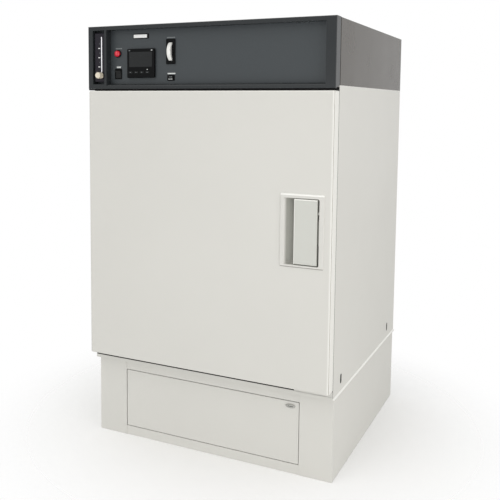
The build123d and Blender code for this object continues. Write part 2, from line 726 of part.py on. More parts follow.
def door_liner():
    """Stainless inner pan whose raised middle reaches into the chamber mouth."""
    plate = block(x_left + DOOR_RETURN + FIT, x_right - DOOR_RETURN - FIT, y_door_back - SHEET, y_door_back,
                  door_bottom + DOOR_RETURN + FIT, door_top - DOOR_RETURN - FIT)
    half = chamber_half - LINER_SHEET - PLUG_CLEARANCE
    low = inner_floor + PLUG_CLEARANCE
    high = inner_roof - PLUG_CLEARANCE
    face = Plane(origin=(0, y_door_back, (low + high) / 2), x_dir=(1, 0, 0), z_dir=(0, -1, 0))
    plug = extrude(face * RectangleRounded(2 * half, high - low, PLUG_RADIUS), -PLUG_HEIGHT, taper=8)
    hollow = extrude(Pos(0, -SHEET, 0) * face * RectangleRounded(2 * half - 2 * LINER_SHEET - SHEET,
                     high - low - 2 * LINER_SHEET - SHEET, PLUG_RADIUS), -PLUG_HEIGHT, taper=8)
    return plate + plug - hollow - rod_y(y_front, y_face, push_x, push_z, PUSH_PIN_RADIUS + RUN_FIT)


def door_gasket():
    """Flat rubber frame on the cabinet's face that the door closes on, cut out for the strike plates."""
    thick = DOOR_GAP - FIT
    middle = (body_bottom + body_top) / 2
    width = WIDTH - 2 * GASKET_SIDE_INSET
    height = BODY_HEIGHT - 2 * GASKET_END_INSET
    ring = Rectangle(width, height) - Rectangle(width - 2 * GASKET_WIDTH, height - 2 * GASKET_WIDTH)
    frame = facing_front(ring, 0, y_face - thick, middle, thick)
    for x0, x1, z in magnet_places():
        half = MAGNET_LENGTH / 2 + STRIKE_MARGIN + FIT
        frame -= block(x0 - FIT, x1 + FIT, y_face - thick - 1, y_face + 1, z - half, z + half)
    return frame


def handle_bezel():
    """Raised frame with the finger dish and the shouldered lug that carries the lever's pin."""
    low = handle_z - dish_half - HANDLE_BORDER_BOTTOM
    high = handle_z + dish_half + HANDLE_BORDER_TOP
    frame = facing_front(RectangleRounded(HANDLE_WIDTH, high - low, HANDLE_CORNER), handle_x,
                         y_front - HANDLE_PROUD, (low + high) / 2, HANDLE_PROUD)
    frame = chamfer(frame.faces().sort_by(Axis.Y)[0].edges(), HANDLE_BEVEL)
    floor = y_front + DISH_DEPTH
    z0 = handle_z - LUG_HEIGHT / 2
    z1 = handle_z + LUG_HEIGHT / 2
    behind = block(dish_left - WALL, dish_right + WALL, y_front, y_face, low - WALL, high + WALL)
    body = frame + (dish(DISH_WALL) & behind) - dish(0)
    body += rod_z(z0, z1, axis_x, axis_y, PIVOT_RADIUS)
    body += block(axis_x - PIVOT_RADIUS, axis_x + PIVOT_RADIUS, axis_y, floor + 1, z0, z1)
    body += block(axis_x, dish_right + 1, y_front + LUG_STEP, floor + 1, z0, z1)
    body -= rod_z(handle_z - LUG_HEIGHT, handle_z + LUG_HEIGHT, axis_x, axis_y, LEVER_PIN_RADIUS + RUN_FIT)
    return body - rod_y(floor - 2, y_face, push_x, push_z, PUSH_PIN_RADIUS + RUN_FIT)


def handle_lever():
    """Pressed paddle with a turned-in rim, two knuckles and the nose that works the push-off pin."""
    y0 = y_front - LEVER_PROUD
    y1 = y0 + LEVER_DEPTH
    low = handle_z - lever_half
    high = handle_z + lever_half
    cap = block(lever_left, lever_right, y0, y1, low, high)
    cap = fillet(cap.faces().sort_by(Axis.Y)[0].edges(), LEVER_EDGE_RADIUS)
    cap -= block(lever_left + LEVER_WALL, lever_right - LEVER_WALL, y0 + LEVER_WALL, y1 + 1,
                 low + LEVER_WALL, high - LEVER_WALL)
    cap -= block(axis_x, lever_right + 1, y0 + LEVER_WALL, y1 + 1,
                 handle_z - LUG_HEIGHT / 2 - FIT, handle_z + LUG_HEIGHT / 2 + FIT)
    for side in (-1, 1):
        z0 = handle_z + side * (LUG_HEIGHT / 2 + FIT)
        z1 = z0 + side * KNUCKLE_HEIGHT
        zs = sorted((z0, z1))
        cap += rod_z(zs[0], zs[1], axis_x, axis_y, PIVOT_RADIUS)
        cap += block(axis_x - PIVOT_RADIUS, axis_x, y0 + 1, axis_y, zs[0], zs[1])
    cap += rod_z(push_z - PUSH_PIN_RADIUS, push_z + PUSH_PIN_RADIUS, push_x, axis_y, PIVOT_RADIUS)
    cap += block(axis_x, push_x, axis_y - PIVOT_RADIUS, axis_y + PIVOT_RADIUS,
                 push_z - PUSH_PIN_RADIUS, push_z + PUSH_PIN_RADIUS)
    return cap - rod_z(low, high, axis_x, axis_y, LEVER_PIN_RADIUS + RUN_FIT)


def lever_pin():
    """Pin through the lug and both knuckles."""
    half = LUG_HEIGHT / 2 + FIT + KNUCKLE_HEIGHT
    return rod_z(handle_z - half, handle_z + half, axis_x, axis_y, LEVER_PIN_RADIUS)


def push_off_pin():
    """Plunger from the lever's nose to the back of the door."""
    start = axis_y + PIVOT_RADIUS + FIT
    pin = rod_y(start, y_door_back, push_x, push_z, PUSH_PIN_RADIUS)
    return chamfer(pin.edges().sort_by(Axis.Y)[-1], PUSH_PIN_CHAMFER)


def magnet_places():
    """Left side, right side and middle height of the upper and the lower magnet bar."""
    x1 = x_right - MAGNET_FROM_EDGE
    for side in (-1, 1):
        yield x1 - MAGNET_WIDTH, x1, handle_z + side * MAGNET_SPACING / 2


def magnets_and_strikes():
    """Magnet bars on the door's back and the strike plates that they meet on the cabinet."""
    thick = (DOOR_GAP - FIT) / 2
    half = MAGNET_LENGTH / 2
    bars = []
    plates = []
    for x0, x1, z in magnet_places():
        bars.append(block(x0, x1, y_door_back, y_door_back + thick, z - half, z + half))
        plates.append(block(x0, x1, y_face - thick, y_face, z - half - STRIKE_MARGIN,
                            z + half + STRIKE_MARGIN))
    return group(bars), group(plates)


# Inside the chamber

def slotted_screen(x0):
    """Punched sheet with rows of upright slots for the air."""
    y0 = y_screen_front
    y1 = y_duct_plate
    screen = block(x0, x0 + SCREEN_SHEET, y0, y1, inner_floor, inner_roof)
    rows_height = inner_roof - inner_floor - 2 * SCREEN_MARGIN
    slot_height = (rows_height - (SCREEN_ROWS - 1) * SCREEN_BRIDGE) / SCREEN_ROWS
    pitch = (y1 - y0 - 2 * SCREEN_MARGIN) / (SCREEN_COLUMNS - 1)
    for column in range(SCREEN_COLUMNS):
        y = y0 + SCREEN_MARGIN + column * pitch
        for row in range(SCREEN_ROWS):
            z = inner_floor + SCREEN_MARGIN + row * (slot_height + SCREEN_BRIDGE)
            screen -= block(x0 - 1, x0 + SCREEN_SHEET + 1, y - SCREEN_SLOT_WIDTH / 2,
                            y + SCREEN_SLOT_WIDTH / 2, z, z + slot_height)
    return screen


def duct_plate():
    """Plain back wall of the working chamber."""
    return block(x_left_screen, x_right_screen + SCREEN_SHEET, y_duct_plate, y_duct_plate + SCREEN_SHEET,
                 inner_floor, inner_roof)


def duct_screens():
    """Slotted sheets before the left duct and the filter, each turned back at the front to close it."""
    left = slotted_screen(x_left_screen)
    left += block(inner_left, x_left_screen, y_screen_front, y_screen_front + SCREEN_SHEET, inner_floor,
                  inner_roof)
    right = slotted_screen(x_right_screen)
    right += block(x_right_screen, inner_right, y_screen_front, y_screen_front + SCREEN_SHEET, inner_floor,
                   inner_roof)
    return group([left.solid(), right.solid()])


def filter_frame():
    """Box frame round the pleated pack."""
    frame = block(filter_x0, filter_x1, filter_y0, y_partition, inner_floor, inner_roof)
    return frame - block(filter_x0 - 1, filter_x1 + 1, filter_y0 + FILTER_RIM, y_partition - FILTER_RIM,
                         inner_floor + FILTER_RIM, inner_roof - FILTER_RIM)


def filter_pleats():
    """Pleated pack: one zigzag sheet extruded to the height of the frame."""
    start = filter_y0 + FILTER_RIM
    pitch = (y_partition - FILTER_RIM - start) / (2 * PLEATS)
    near = filter_x0 + FILTER_MARGIN
    far = filter_x1 - FILTER_MARGIN - PLEAT_SPREAD
    folds = [(near if i % 2 else far, start + i * pitch) for i in range(2 * PLEATS + 1)]
    back = [(x + PLEAT_SPREAD, y) for x, y in reversed(folds)]
    return along_z(folds + back, inner_floor + FILTER_RIM, inner_roof - FILTER_RIM)


# Shelf racks and shelves

def ledge_top(level):
    """Height of a ledge's upper face."""
    pitch = (inner_roof - inner_floor - 2 * RACK_MARGIN) / (LEDGE_COUNT - 1)
    return inner_floor + RACK_MARGIN + level * pitch


def shelf_racks():
    """Two side racks: upright posts against the screens, with folded ledges between them."""
    y0 = y_screen_front + RACK_FROM_FRONT
    y1 = y_duct_plate - RACK_FROM_BACK
    rack = block(rack_left, rack_left + RACK_SHEET, y0, y0 + RACK_POST_WIDTH, inner_floor, inner_roof)
    rack += block(rack_left, rack_left + RACK_SHEET, y1 - RACK_POST_WIDTH, y1, inner_floor, inner_roof)
    tip = rack_left + RACK_SHEET + LEDGE_REACH
    for level in range(LEDGE_COUNT):
        top = ledge_top(level)
        fold = [(rack_left, top), (tip, top), (tip, top - RACK_SHEET),
                (rack_left + 2 * RACK_SHEET, top - RACK_SHEET),
                (rack_left + 2 * RACK_SHEET, top - LEDGE_HEIGHT), (rack_left, top - LEDGE_HEIGHT)]
        rack += along_y(fold, y0, y1)
    other = mirror(rack, Plane(origin=(x_chamber_mid, 0, 0), z_dir=(1, 0, 0)))
    return group([rack.solid(), other.solid()])


def shelf(level):
    """Wire shelf: a rim of round rod with rounded corners, two cross rods and welded wires."""
    z = ledge_top(level) + FIT + SHELF_ROD_RADIUS
    inset = SHELF_GAP + SHELF_ROD_RADIUS
    x0 = rack_left + 2 * RACK_SHEET + inset
    x1 = rack_right - 2 * RACK_SHEET - inset
    y0 = y_screen_front + SHELF_FRONT_GAP + SHELF_ROD_RADIUS
    y1 = y_duct_plate - inset
    corners = [(x0, y0, z), (x1, y0, z), (x1, y1, z), (x0, y1, z)]
    r = SHELF_ROD_RADIUS
    frame = rod_y(y0 + SHELF_CORNER, y1 - SHELF_CORNER, x0, z, r)
    frame += rod_y(y0 + SHELF_CORNER, y1 - SHELF_CORNER, x1, z, r)
    frame += rod_x(x0 + SHELF_CORNER, x1 - SHELF_CORNER, y0, z, r)
    frame += rod_x(x0 + SHELF_CORNER, x1 - SHELF_CORNER, y1, z, r)
    for i, (x, y, _) in enumerate(corners):
        side_x = 1 if x == x0 else -1
        side_y = 1 if y == y0 else -1
        centre = (x + side_x * SHELF_CORNER, y + side_y * SHELF_CORNER, z)
        start = Plane(origin=(x, centre[1], z), x_dir=(1, 0, 0), z_dir=(0, 1, 0))
        turn = 90 if side_x * side_y > 0 else -90
        frame += revolve(start * Circle(r), Axis(centre, (0, 0, 1)), turn)
    for fraction in (1 / 3, 2 / 3):
        frame += rod_x(x0, x1, y0 + fraction * (y1 - y0), z, SHELF_CROSS_RADIUS)
    pitch = (x1 - x0) / (SHELF_WIRES + 1)
    for i in range(1, SHELF_WIRES + 1):
        frame += rod_y(y0, y1, x0 + i * pitch, z, SHELF_WIRE_RADIUS)
    return frame


# Fan, heater and motor

def heater_heights():
    """Middle heights of the heater's loops."""
    for i in range(HEATER_LOOPS):
        yield z_chamber_mid + (i - (HEATER_LOOPS - 1) / 2) * HEATER_PITCH


def heater():
    """Hairpin rods in the left duct, each on a terminal plate at the back wall."""
    back = y_chamber_back - LINER_SHEET
    front = y_screen_front + HEATER_BEND_RADIUS + 3 * HEATER_ROD_RADIUS
    half = HEATER_BEND_RADIUS + 3 * HEATER_ROD_RADIUS
    loops = []
    for z in heater_heights():
        loop = block(heater_x - 3 * HEATER_ROD_RADIUS, heater_x + 3 * HEATER_ROD_RADIUS,
                     back - HEATER_ROD_RADIUS, back, z - half, z + half)
        for side in (-1, 1):
            loop += rod_y(front, back - 1, heater_x, z + side * HEATER_BEND_RADIUS, HEATER_ROD_RADIUS)
        end = Plane(origin=(heater_x, front, z + HEATER_BEND_RADIUS), x_dir=(1, 0, 0), z_dir=(0, -1, 0))
        loop += revolve(end * Circle(HEATER_ROD_RADIUS), Axis((heater_x, front, z), (1, 0, 0)), 180)
        loops.append(loop)
    return group([loop.solid() for loop in loops])


def fan_partition():
    """Wall between the suction and the pressure side, with the fan's bell-mouthed inlet ring."""
    throat = FAN_EYE_RADIUS - EYE_CLEARANCE - SCREEN_SHEET
    mouth = throat + BELL_RADIUS
    wall = block(inner_left, filter_x1, y_partition, y_partition + SCREEN_SHEET, inner_floor, inner_roof)
    wall -= rod_y(y_partition - 1, y_partition + SCREEN_SHEET + 1, x_fan, z_chamber_mid, mouth)
    for z in heater_heights():
        for side in (-1, 1):
            wall -= rod_y(y_partition - 1, y_partition + SCREEN_SHEET + 1, heater_x,
                          z + side * HEATER_BEND_RADIUS, HEATER_ROD_RADIUS + FIT)
    air = quarter(mouth, y_partition + BELL_RADIUS, BELL_RADIUS)
    back = quarter(mouth, y_partition + BELL_RADIUS, BELL_RADIUS - SCREEN_SHEET)
    section = make_face([air, Line(air @ 1, back @ 1), back, Line(back @ 0, air @ 0)])
    return wall + turned(section, x_fan, z_chamber_mid)


def quarter(x, y, radius):
    """Quarter arc from below its centre round to the left of it."""
    corner = radius * sqrt(0.5)
    return ThreePointArc((x, y - radius), (x - corner, y - corner), (x - radius, y))


def fan_wheel():
    """Back plate, hub, backward-curved blades and a sloping ring shroud."""
    slope = FAN_WIDTH / 4
    back = fan_y0 + FAN_WIDTH
    wheel = rod_y(back - FAN_SHEET, back, x_fan, z_chamber_mid, FAN_RADIUS)
    wheel += rod_y(back - HUB_LENGTH, back, x_fan, z_chamber_mid, HUB_RADIUS)
    wheel += turned_y([(FAN_EYE_RADIUS, fan_y0), (FAN_RADIUS, fan_y0 + slope),
                       (FAN_RADIUS, fan_y0 + slope + FAN_SHEET), (FAN_EYE_RADIUS, fan_y0 + FAN_SHEET)],
                      x_fan, z_chamber_mid)
    root = FAN_EYE_RADIUS * BLADE_ROOT
    sweep = radians(BLADE_SWEEP)
    edge = ThreePointArc((root, 0), (FAN_EYE_RADIUS * cos(sweep / 3), FAN_EYE_RADIUS * sin(sweep / 3)),
                         ((FAN_RADIUS - 1) * cos(sweep), (FAN_RADIUS - 1) * sin(sweep)))
    other = edge.rotate(Axis.Z, degrees(FAN_SHEET / root))
    outline = make_face([edge, Line(edge @ 1, other @ 1), other, Line(other @ 0, edge @ 0)])
    clear = fan_y0 + 2 * BELL_OVERLAP
    step = FAN_EYE_RADIUS + FAN_SHEET / 2
    swept = turned_y([(0, clear), (step, clear), (step, fan_y0 + FAN_SHEET / 2),
                      (FAN_RADIUS, fan_y0 + slope + FAN_SHEET / 2), (FAN_RADIUS, back), (0, back)],
                     x_fan, z_chamber_mid)
    blade = facing_front(outline, x_fan, fan_y0, z_chamber_mid, FAN_WIDTH - FAN_SHEET / 2) & swept
    axis = Axis((x_fan, 0, z_chamber_mid), (0, 1, 0))
    for i in range(FAN_BLADES):
        wheel += blade.rotate(axis, i * 360 / FAN_BLADES)
    return wheel - rod_y(fan_y0, back + 1, x_fan, z_chamber_mid, SHAFT_RADIUS + RUN_FIT)


def fan_shaft():
    """Shaft from the wheel's hub into the motor, with a collar against the hub's nose."""
    start = fan_y0 + FAN_WIDTH - HUB_LENGTH - COLLAR_LENGTH
    shaft = rod_y(start, motor_y + MOTOR_FLANGE_THICK + SHAFT_GRIP, x_fan, z_chamber_mid, SHAFT_RADIUS)
    shaft += rod_y(start, start + COLLAR_LENGTH, x_fan, z_chamber_mid, COLLAR_RADIUS)
    disc = y_motor_face + MOTOR_LEGS / 2
    return shaft + rod_y(disc, disc + FAN_SHEET, x_fan, z_chamber_mid, COOLING_DISC_RADIUS)


def fan_motor():
    """Finned motor on a square flange that stands on four legs off the hot wall."""
    half = MOTOR_FLANGE / 2 - MOTOR_LEG_RADIUS
    y1 = motor_y + MOTOR_FLANGE_THICK
    y2 = y1 + motor_length
    motor = facing_front(RectangleRounded(MOTOR_FLANGE, MOTOR_FLANGE, MOTOR_LEG_RADIUS), x_fan, motor_y,
                         z_chamber_mid, MOTOR_FLANGE_THICK)
    for x in (-half, half):
        for z in (-half, half):
            motor += rod_y(y_motor_face, motor_y + 1, x_fan + x, z_chamber_mid + z, MOTOR_LEG_RADIUS)
    motor += turned_y([(0, y1 - 1), (MOTOR_RADIUS, y1 - 1), (MOTOR_RADIUS, y2 - MOTOR_END),
                       (MOTOR_END_RADIUS, y2), (0, y2)], x_fan, z_chamber_mid)
    fin = block(x_fan + MOTOR_RADIUS - 1, x_fan + MOTOR_RADIUS + MOTOR_FIN_HEIGHT, y1, y2 - MOTOR_END,
                z_chamber_mid - MOTOR_FIN_WIDTH / 2, z_chamber_mid + MOTOR_FIN_WIDTH / 2)
    axis = Axis((x_fan, 0, z_chamber_mid), (0, 1, 0))
    for i in range(MOTOR_FINS):
        motor += fin.rotate(axis, i * 360 / MOTOR_FINS)
    return motor - rod_y(motor_y - 1, y1 + SHAFT_GRIP + 1, x_fan, z_chamber_mid, SHAFT_RADIUS + RUN_FIT)


# Exhaust port

y_damper = y_rear + DAMPER_FROM_WALL


def exhaust_port():
    """Spigot from the pressure side to the open air, with a collar and a bead that stops the hose."""
    tube = rod_y(y_chamber_back - LINER_SHEET, y_rear + SPIGOT_REACH, spigot_x, z_spigot, SPIGOT_RADIUS)
    tube += rod_y(y_rear, y_rear + SHEET, spigot_x, z_spigot, SPIGOT_RADIUS + SPIGOT_COLLAR)
    stop = y_rear + SPIGOT_REACH - HOSE_GRIP
    tube += rod_y(stop - HOSE_BEAD, stop, spigot_x, z_spigot, SPIGOT_RADIUS + HOSE_BEAD)
    tube -= rod_y(y_chamber_back - SHEET - 1, y_rear + SPIGOT_REACH + 1, spigot_x, z_spigot,
                  SPIGOT_RADIUS - SPIGOT_WALL)
    return tube - rod_z(z_spigot - SPIGOT_RADIUS - 1, z_spigot + SPIGOT_RADIUS + 1, spigot_x, y_damper,
                        DAMPER_SHAFT_RADIUS + RUN_FIT)


def exhaust_damper():
    """Butterfly disc on an upright shaft with a lever above the spigot, shut."""
    plate = rod_y(y_damper - SHEET / 2, y_damper + SHEET / 2, spigot_x, z_spigot,
                  SPIGOT_RADIUS - SPIGOT_WALL - 2 * FIT)
    top = z_spigot + SPIGOT_RADIUS + HOSE_ROOM
    shaft = rod_z(z_spigot - SPIGOT_RADIUS + FIT, top + SHEET, spigot_x, y_damper, DAMPER_SHAFT_RADIUS)
    middle = spigot_x + (DAMPER_LEVER - DAMPER_LEVER_WIDTH) / 2
    arm = Plane(origin=(middle, y_damper, top), z_dir=(0, 0, 1))
    return plate + shaft + extrude(arm * SlotOverall(DAMPER_LEVER, DAMPER_LEVER_WIDTH), SHEET)


# Control box

def control_bezel():
    """Hollow front frame with a sloping underside, a rolled lip, the main recess and the meter's slot."""
    outer = along_x([(y_front, bezel_bottom), (y_front, oven_top), (y_face, oven_top),
                     (y_face, body_top + FIT)], x_left, x_right)
    outer = fillet(outer.faces().sort_by(Axis.Y)[0].edges(), BEZEL_EDGE_RADIUS)
    cavity = along_x([(y_front + SHEET, bezel_bottom + BEZEL_LIP), (y_front + SHEET, oven_top - SHEET),
                      (y_face + 1, oven_top - SHEET), (y_face + 1, bezel_bottom + BEZEL_LIP)],
                     x_left + SHEET, x_right - SHEET)
    cavity -= block(slot_left - SHEET, slot_right + SHEET, y_front, y_panel, recess_bottom,
                    recess_top + SHEET)
    cavity -= block(recess_left - SHEET, recess_right + SHEET, y_front, y_panel, recess_bottom,
                    recess_top + SHEET)
    bezel = outer - cavity
    for left, right in ((slot_left, slot_right), (recess_left, recess_right)):
        bezel -= block(left, right, y_front - 1, y_panel + 1, recess_bottom, recess_top)
    roll = block(recess_left, recess_right, y_front - 1, y_front + BEZEL_LIP_RADIUS,
                 recess_bottom - BEZEL_LIP_RADIUS, recess_bottom + 1)
    roll -= rod_x(recess_left - 1, recess_right + 1, y_front + BEZEL_LIP_RADIUS,
                  recess_bottom - BEZEL_LIP_RADIUS, BEZEL_LIP_RADIUS)
    return bezel - roll


def control_panel():
    """Recessed plate with the cut-outs of everything that is mounted on it."""
    panel = block(slot_left - SHEET, recess_right + SHEET, y_panel, y_panel + PANEL_SHEET,
                  recess_bottom, recess_top + SHEET)
    holes = [(CONTROLLER_X, CONTROLLER_RISE, CONTROLLER_BODY, CONTROLLER_BODY),
             (ROCKER_X, ROCKER_RISE, ROCKER_WIDTH - 2 * FRAME_RIM, ROCKER_HEIGHT - 2 * FRAME_RIM),
             (SMALL_ROCKER_X, SMALL_ROCKER_RISE, SMALL_ROCKER_WIDTH - 2 * FRAME_RIM,
              SMALL_ROCKER_HEIGHT - 2 * FRAME_RIM),
             (DIAL_X, DIAL_RISE, DIAL_WIDTH - 2 * FRAME_RIM, DIAL_HEIGHT - 2 * FRAME_RIM)]
    for x, rise, width, height in holes:
        panel -= block(x_left + x - width / 2 - FIT, x_left + x + width / 2 + FIT, y_panel - 1,
                       y_panel + PANEL_SHEET + 1, recess_mid + rise - height / 2 - FIT,
                       recess_mid + rise + height / 2 + FIT)
    return panel - rod_y(y_panel - 1, y_panel + PANEL_SHEET + 1, x_left + LAMP_X, recess_mid + LAMP_RISE,
                         LAMP_RADIUS + FIT)


def top_cover():
    """Folded cover of the control box, whose tongue reaches across a seam into the front frame."""
    outer = block(x_left, x_right, y_face + COVER_SEAM, y_rear, body_top, oven_top)
    edges = outer.faces().sort_by(Axis.Z)[-1].edges()
    outer = fillet([edge for edge in edges if edge.center().Y > y_face + COVER_SEAM + 1], BEZEL_EDGE_RADIUS)
    cover = outer - block(x_left + SHEET, x_right - SHEET, y_face, y_rear - SHEET, body_top - 1,
                          oven_top - SHEET)
    low = recess_bottom + SHEET
    y0 = y_face - COVER_TONGUE
    y1 = y_face + COVER_SEAM + COVER_TONGUE
    tongue = block(x_left + SHEET, x_right - SHEET, y0, y1, low, oven_top - SHEET)
    cover += tongue - block(x_left + 2 * SHEET, x_right - 2 * SHEET, y0 - 1, y1 + 1, low - 1,
                            oven_top - 2 * SHEET)
    cover -= rod_y(y_rear - SHEET - 1, y_rear + 1, gland_x, body_top + GLAND_RISE, GLAND_THREAD + FIT)
    cover -= rod_y(y_rear - SHEET - 1, y_rear + 1, inlet_x, body_top + INLET_RISE, INLET_RADIUS + FIT)
    slot = facing_front(SlotOverall(VENT_LENGTH, VENT_HEIGHT), x_fan, y_rear - SHEET - 1, 0, SHEET + 2)
    for row in range(VENT_SLOTS):
        cover -= Pos(0, 0, body_top + GLAND_RISE + (row - 1) * VENT_PITCH) * slot
    return cover


# Controller

controller_x = x_left + CONTROLLER_X
controller_z = recess_mid + CONTROLLER_RISE
controller_y = y_panel - CONTROLLER_PROUD


def key_centre(index):
    """Middle x of one key."""
    return controller_x + KEY_SHIFT + (index - (KEY_COUNT - 1) / 2) * KEY_PITCH


def controller_case():
    """Square bezel on a boxed body, with the screen's seat and a pocket for each key."""
    case = facing_front(RectangleRounded(CONTROLLER_WIDTH, CONTROLLER_HEIGHT, 3), controller_x, controller_y,
                        controller_z, CONTROLLER_PROUD)
    case = chamfer(case.faces().sort_by(Axis.Y)[0].edges(), CONTROLLER_BEVEL)
    case += facing_front(Rectangle(CONTROLLER_BODY, CONTROLLER_BODY), controller_x, y_panel - 1,
                         controller_z, CONTROLLER_DEPTH)
    case -= facing_front(Rectangle(SCREEN_WIDTH + 2 * FIT, SCREEN_HEIGHT + 2 * FIT), controller_x,
                         controller_y - 1, controller_z + SCREEN_RISE, SCREEN_THICK + SCREEN_INSET + 1)
    for index in range(KEY_COUNT):
        pocket = RectangleRounded(KEY_WIDTH + 2 * FIT, KEY_HEIGHT + 2 * FIT, KEY_CORNER + FIT)
        case -= facing_front(pocket, key_centre(index), controller_y - 1, controller_z - KEY_DROP,
                             1 + KEY_LENGTH - KEY_PROUD + KEY_TRAVEL + FIT)
    return case


def controller_screen():
    """Flat window in the controller's bezel."""
    return facing_front(Rectangle(SCREEN_WIDTH, SCREEN_HEIGHT), controller_x, controller_y + SCREEN_INSET,
                        controller_z + SCREEN_RISE, SCREEN_THICK)


def key(index):
    """Rounded key cap."""
    cap = facing_front(RectangleRounded(KEY_WIDTH, KEY_HEIGHT, KEY_CORNER), key_centre(index),
                       controller_y - KEY_PROUD, controller_z - KEY_DROP, KEY_LENGTH)
    return chamfer(cap.faces().sort_by(Axis.Y)[0].edges(), KEY_PROUD / 2)


# Rocker switches

def rocker_places(small):
    """Width along the pivot, length across it, place and turn of a switch."""
    if small:
        return (SMALL_ROCKER_HEIGHT, SMALL_ROCKER_WIDTH, x_left + SMALL_ROCKER_X,
                recess_mid + SMALL_ROCKER_RISE, Rot(0, 90, 0))
    return ROCKER_WIDTH, ROCKER_HEIGHT, x_left + ROCKER_X, recess_mid + ROCKER_RISE, Rot(0, 0, 0)


def switch_frame(small):
    """Snap-in frame with a closed well and the holes of the pivot."""
    width, length, x, z, turn = rocker_places(small)
    well = PIVOT_BEHIND + ROCKER_TAIL + ROCKER_SWING
    frame = facing_front(RectangleRounded(width, length, FRAME_CORNER), 0, -FRAME_PROUD, 0, FRAME_PROUD)
    frame = chamfer(frame.faces().sort_by(Axis.Y)[0].edges(), FRAME_BEVEL)
    neck = Rectangle(width - 2 * FRAME_RIM, length - 2 * FRAME_RIM)
    frame += facing_front(neck, 0, -1, 0, 1 + well + FRAME_WALL)
    room = Rectangle(width - 2 * FRAME_WALL - 2 * FRAME_RIM, length - 2 * FRAME_WALL - 2 * FRAME_RIM)
    frame -= facing_front(room, 0, -FRAME_PROUD - 1, 0, FRAME_PROUD + 1 + well)
    pivot = width / 2 - FRAME_RIM - 1
    frame -= rod_x(-pivot, pivot, PIVOT_BEHIND, 0, PIVOT_STUB + RUN_FIT)
    return Pos(x, y_panel, z) * turn * frame


def rocker(small):
    """Dished rocker on two pivot stubs, resting on its off side."""
    width, length, x, z, turn = rocker_places(small)
    room = length / 2 - FRAME_WALL - FRAME_RIM - 2 * FIT
    front = -PIVOT_BEHIND - FRAME_PROUD - ROCKER_RISE_END
    half = (room + front * sin(radians(ROCKER_TILT))) / cos(radians(ROCKER_TILT))
    side = width / 2 - FRAME_WALL - FRAME_RIM - FIT
    outline = [(front, half), (front + ROCKER_DISH, 0), (front, -half), (ROCKER_TAIL, -half / 2),
               (ROCKER_TAIL, half / 2)]
    body = along_x(outline, -side, side)
    body += rod_x(-side - FRAME_WALL / 2, side + FRAME_WALL / 2, 0, 0, PIVOT_STUB)
    return Pos(x, y_panel, z) * turn * Pos(0, PIVOT_BEHIND, 0) * Rot(ROCKER_TILT, 0, 0) * body


# Thumbwheel dial

dial_x = x_left + DIAL_X
dial_z = recess_mid + DIAL_RISE
dial_axis_y = y_panel + WHEEL_AXIS_DEPTH


def dial_bezel():
    """Housing of the thumbwheel, open where the wheel stands out."""
    room = WHEEL_RADIUS + WHEEL_CLEARANCE
    housing = facing_front(RectangleRounded(DIAL_WIDTH, DIAL_HEIGHT, FRAME_CORNER), dial_x,
                           y_panel - DIAL_PROUD, dial_z, DIAL_PROUD)
    housing = chamfer(housing.faces().sort_by(Axis.Y)[0].edges(), DIAL_BEVEL)
    housing += facing_front(Rectangle(DIAL_WIDTH - 2 * FRAME_RIM, DIAL_HEIGHT - 2 * FRAME_RIM), dial_x,
                            y_panel - 1, dial_z, 1 + WHEEL_AXIS_DEPTH + room + FRAME_WALL)
    side = WHEEL_WIDTH / 2 + WHEEL_CLEARANCE
    housing -= rod_x(dial_x - side, dial_x + side, dial_axis_y, dial_z, room)
    return housing - rod_x(dial_x - side - AXLE_LENGTH, dial_x + side + AXLE_LENGTH, dial_axis_y, dial_z,
                           AXLE_RADIUS + RUN_FIT)


def dial_wheel():
    """Thumbwheel with a broad rim, a thin web and axle stubs."""
    half = WHEEL_WIDTH / 2
    web = WHEEL_WEB / 2
    rim = WHEEL_RADIUS - WHEEL_RIM
    outline = [(0, -half), (WHEEL_HUB_RADIUS, -half), (WHEEL_HUB_RADIUS, -web), (rim, -web), (rim, -half),
               (WHEEL_RADIUS - WHEEL_CHAMFER, -half), (WHEEL_RADIUS, WHEEL_CHAMFER - half)]
    outline += [(r, -along) for r, along in reversed(outline)]
    profile = Plane(origin=(dial_x, dial_axis_y, dial_z), x_dir=(0, 1, 0), z_dir=(0, 0, -1))
    wheel = revolve(profile * make_face(Polyline(*outline, close=True)),
                    Axis((dial_x, dial_axis_y, dial_z), (1, 0, 0)))
    reach = half + WHEEL_CLEARANCE + AXLE_LENGTH - FIT
    return wheel + rod_x(dial_x - reach, dial_x + reach, dial_axis_y, dial_z, AXLE_RADIUS)


# Lamp and plate

def lamp_base():
    """Round base with a threaded body through the panel."""
    x = x_left + LAMP_X
    z = recess_mid + LAMP_RISE
    y0 = y_panel - LAMP_BASE_HEIGHT
    return turned_y([(0, y0), (LAMP_BASE_RADIUS - LAMP_BASE_CHAMFER, y0),
                     (LAMP_BASE_RADIUS, y0 + LAMP_BASE_CHAMFER),
                     (LAMP_BASE_RADIUS, y_panel), (LAMP_RADIUS, y_panel),
                     (LAMP_RADIUS, y_panel + LAMP_BODY_DEPTH), (0, y_panel + LAMP_BODY_DEPTH)], x, z)


def lamp_lens():
    """Domed lens on the base."""
    y0 = y_panel - LAMP_BASE_HEIGHT
    tip = y0 - LAMP_REACH
    centre = tip + LAMP_DOME_RADIUS
    spread = asin(LAMP_RADIUS / LAMP_DOME_RADIUS)
    rim = (LAMP_RADIUS, centre - LAMP_DOME_RADIUS * cos(spread))
    middle = (LAMP_DOME_RADIUS * sin(spread / 2), centre - LAMP_DOME_RADIUS * cos(spread / 2))
    outline = [Polyline((0, tip), (0, y0), (LAMP_RADIUS, y0), rim), ThreePointArc(rim, middle, (0, tip))]
    return turned(make_face(outline), x_left + LAMP_X, recess_mid + LAMP_RISE)


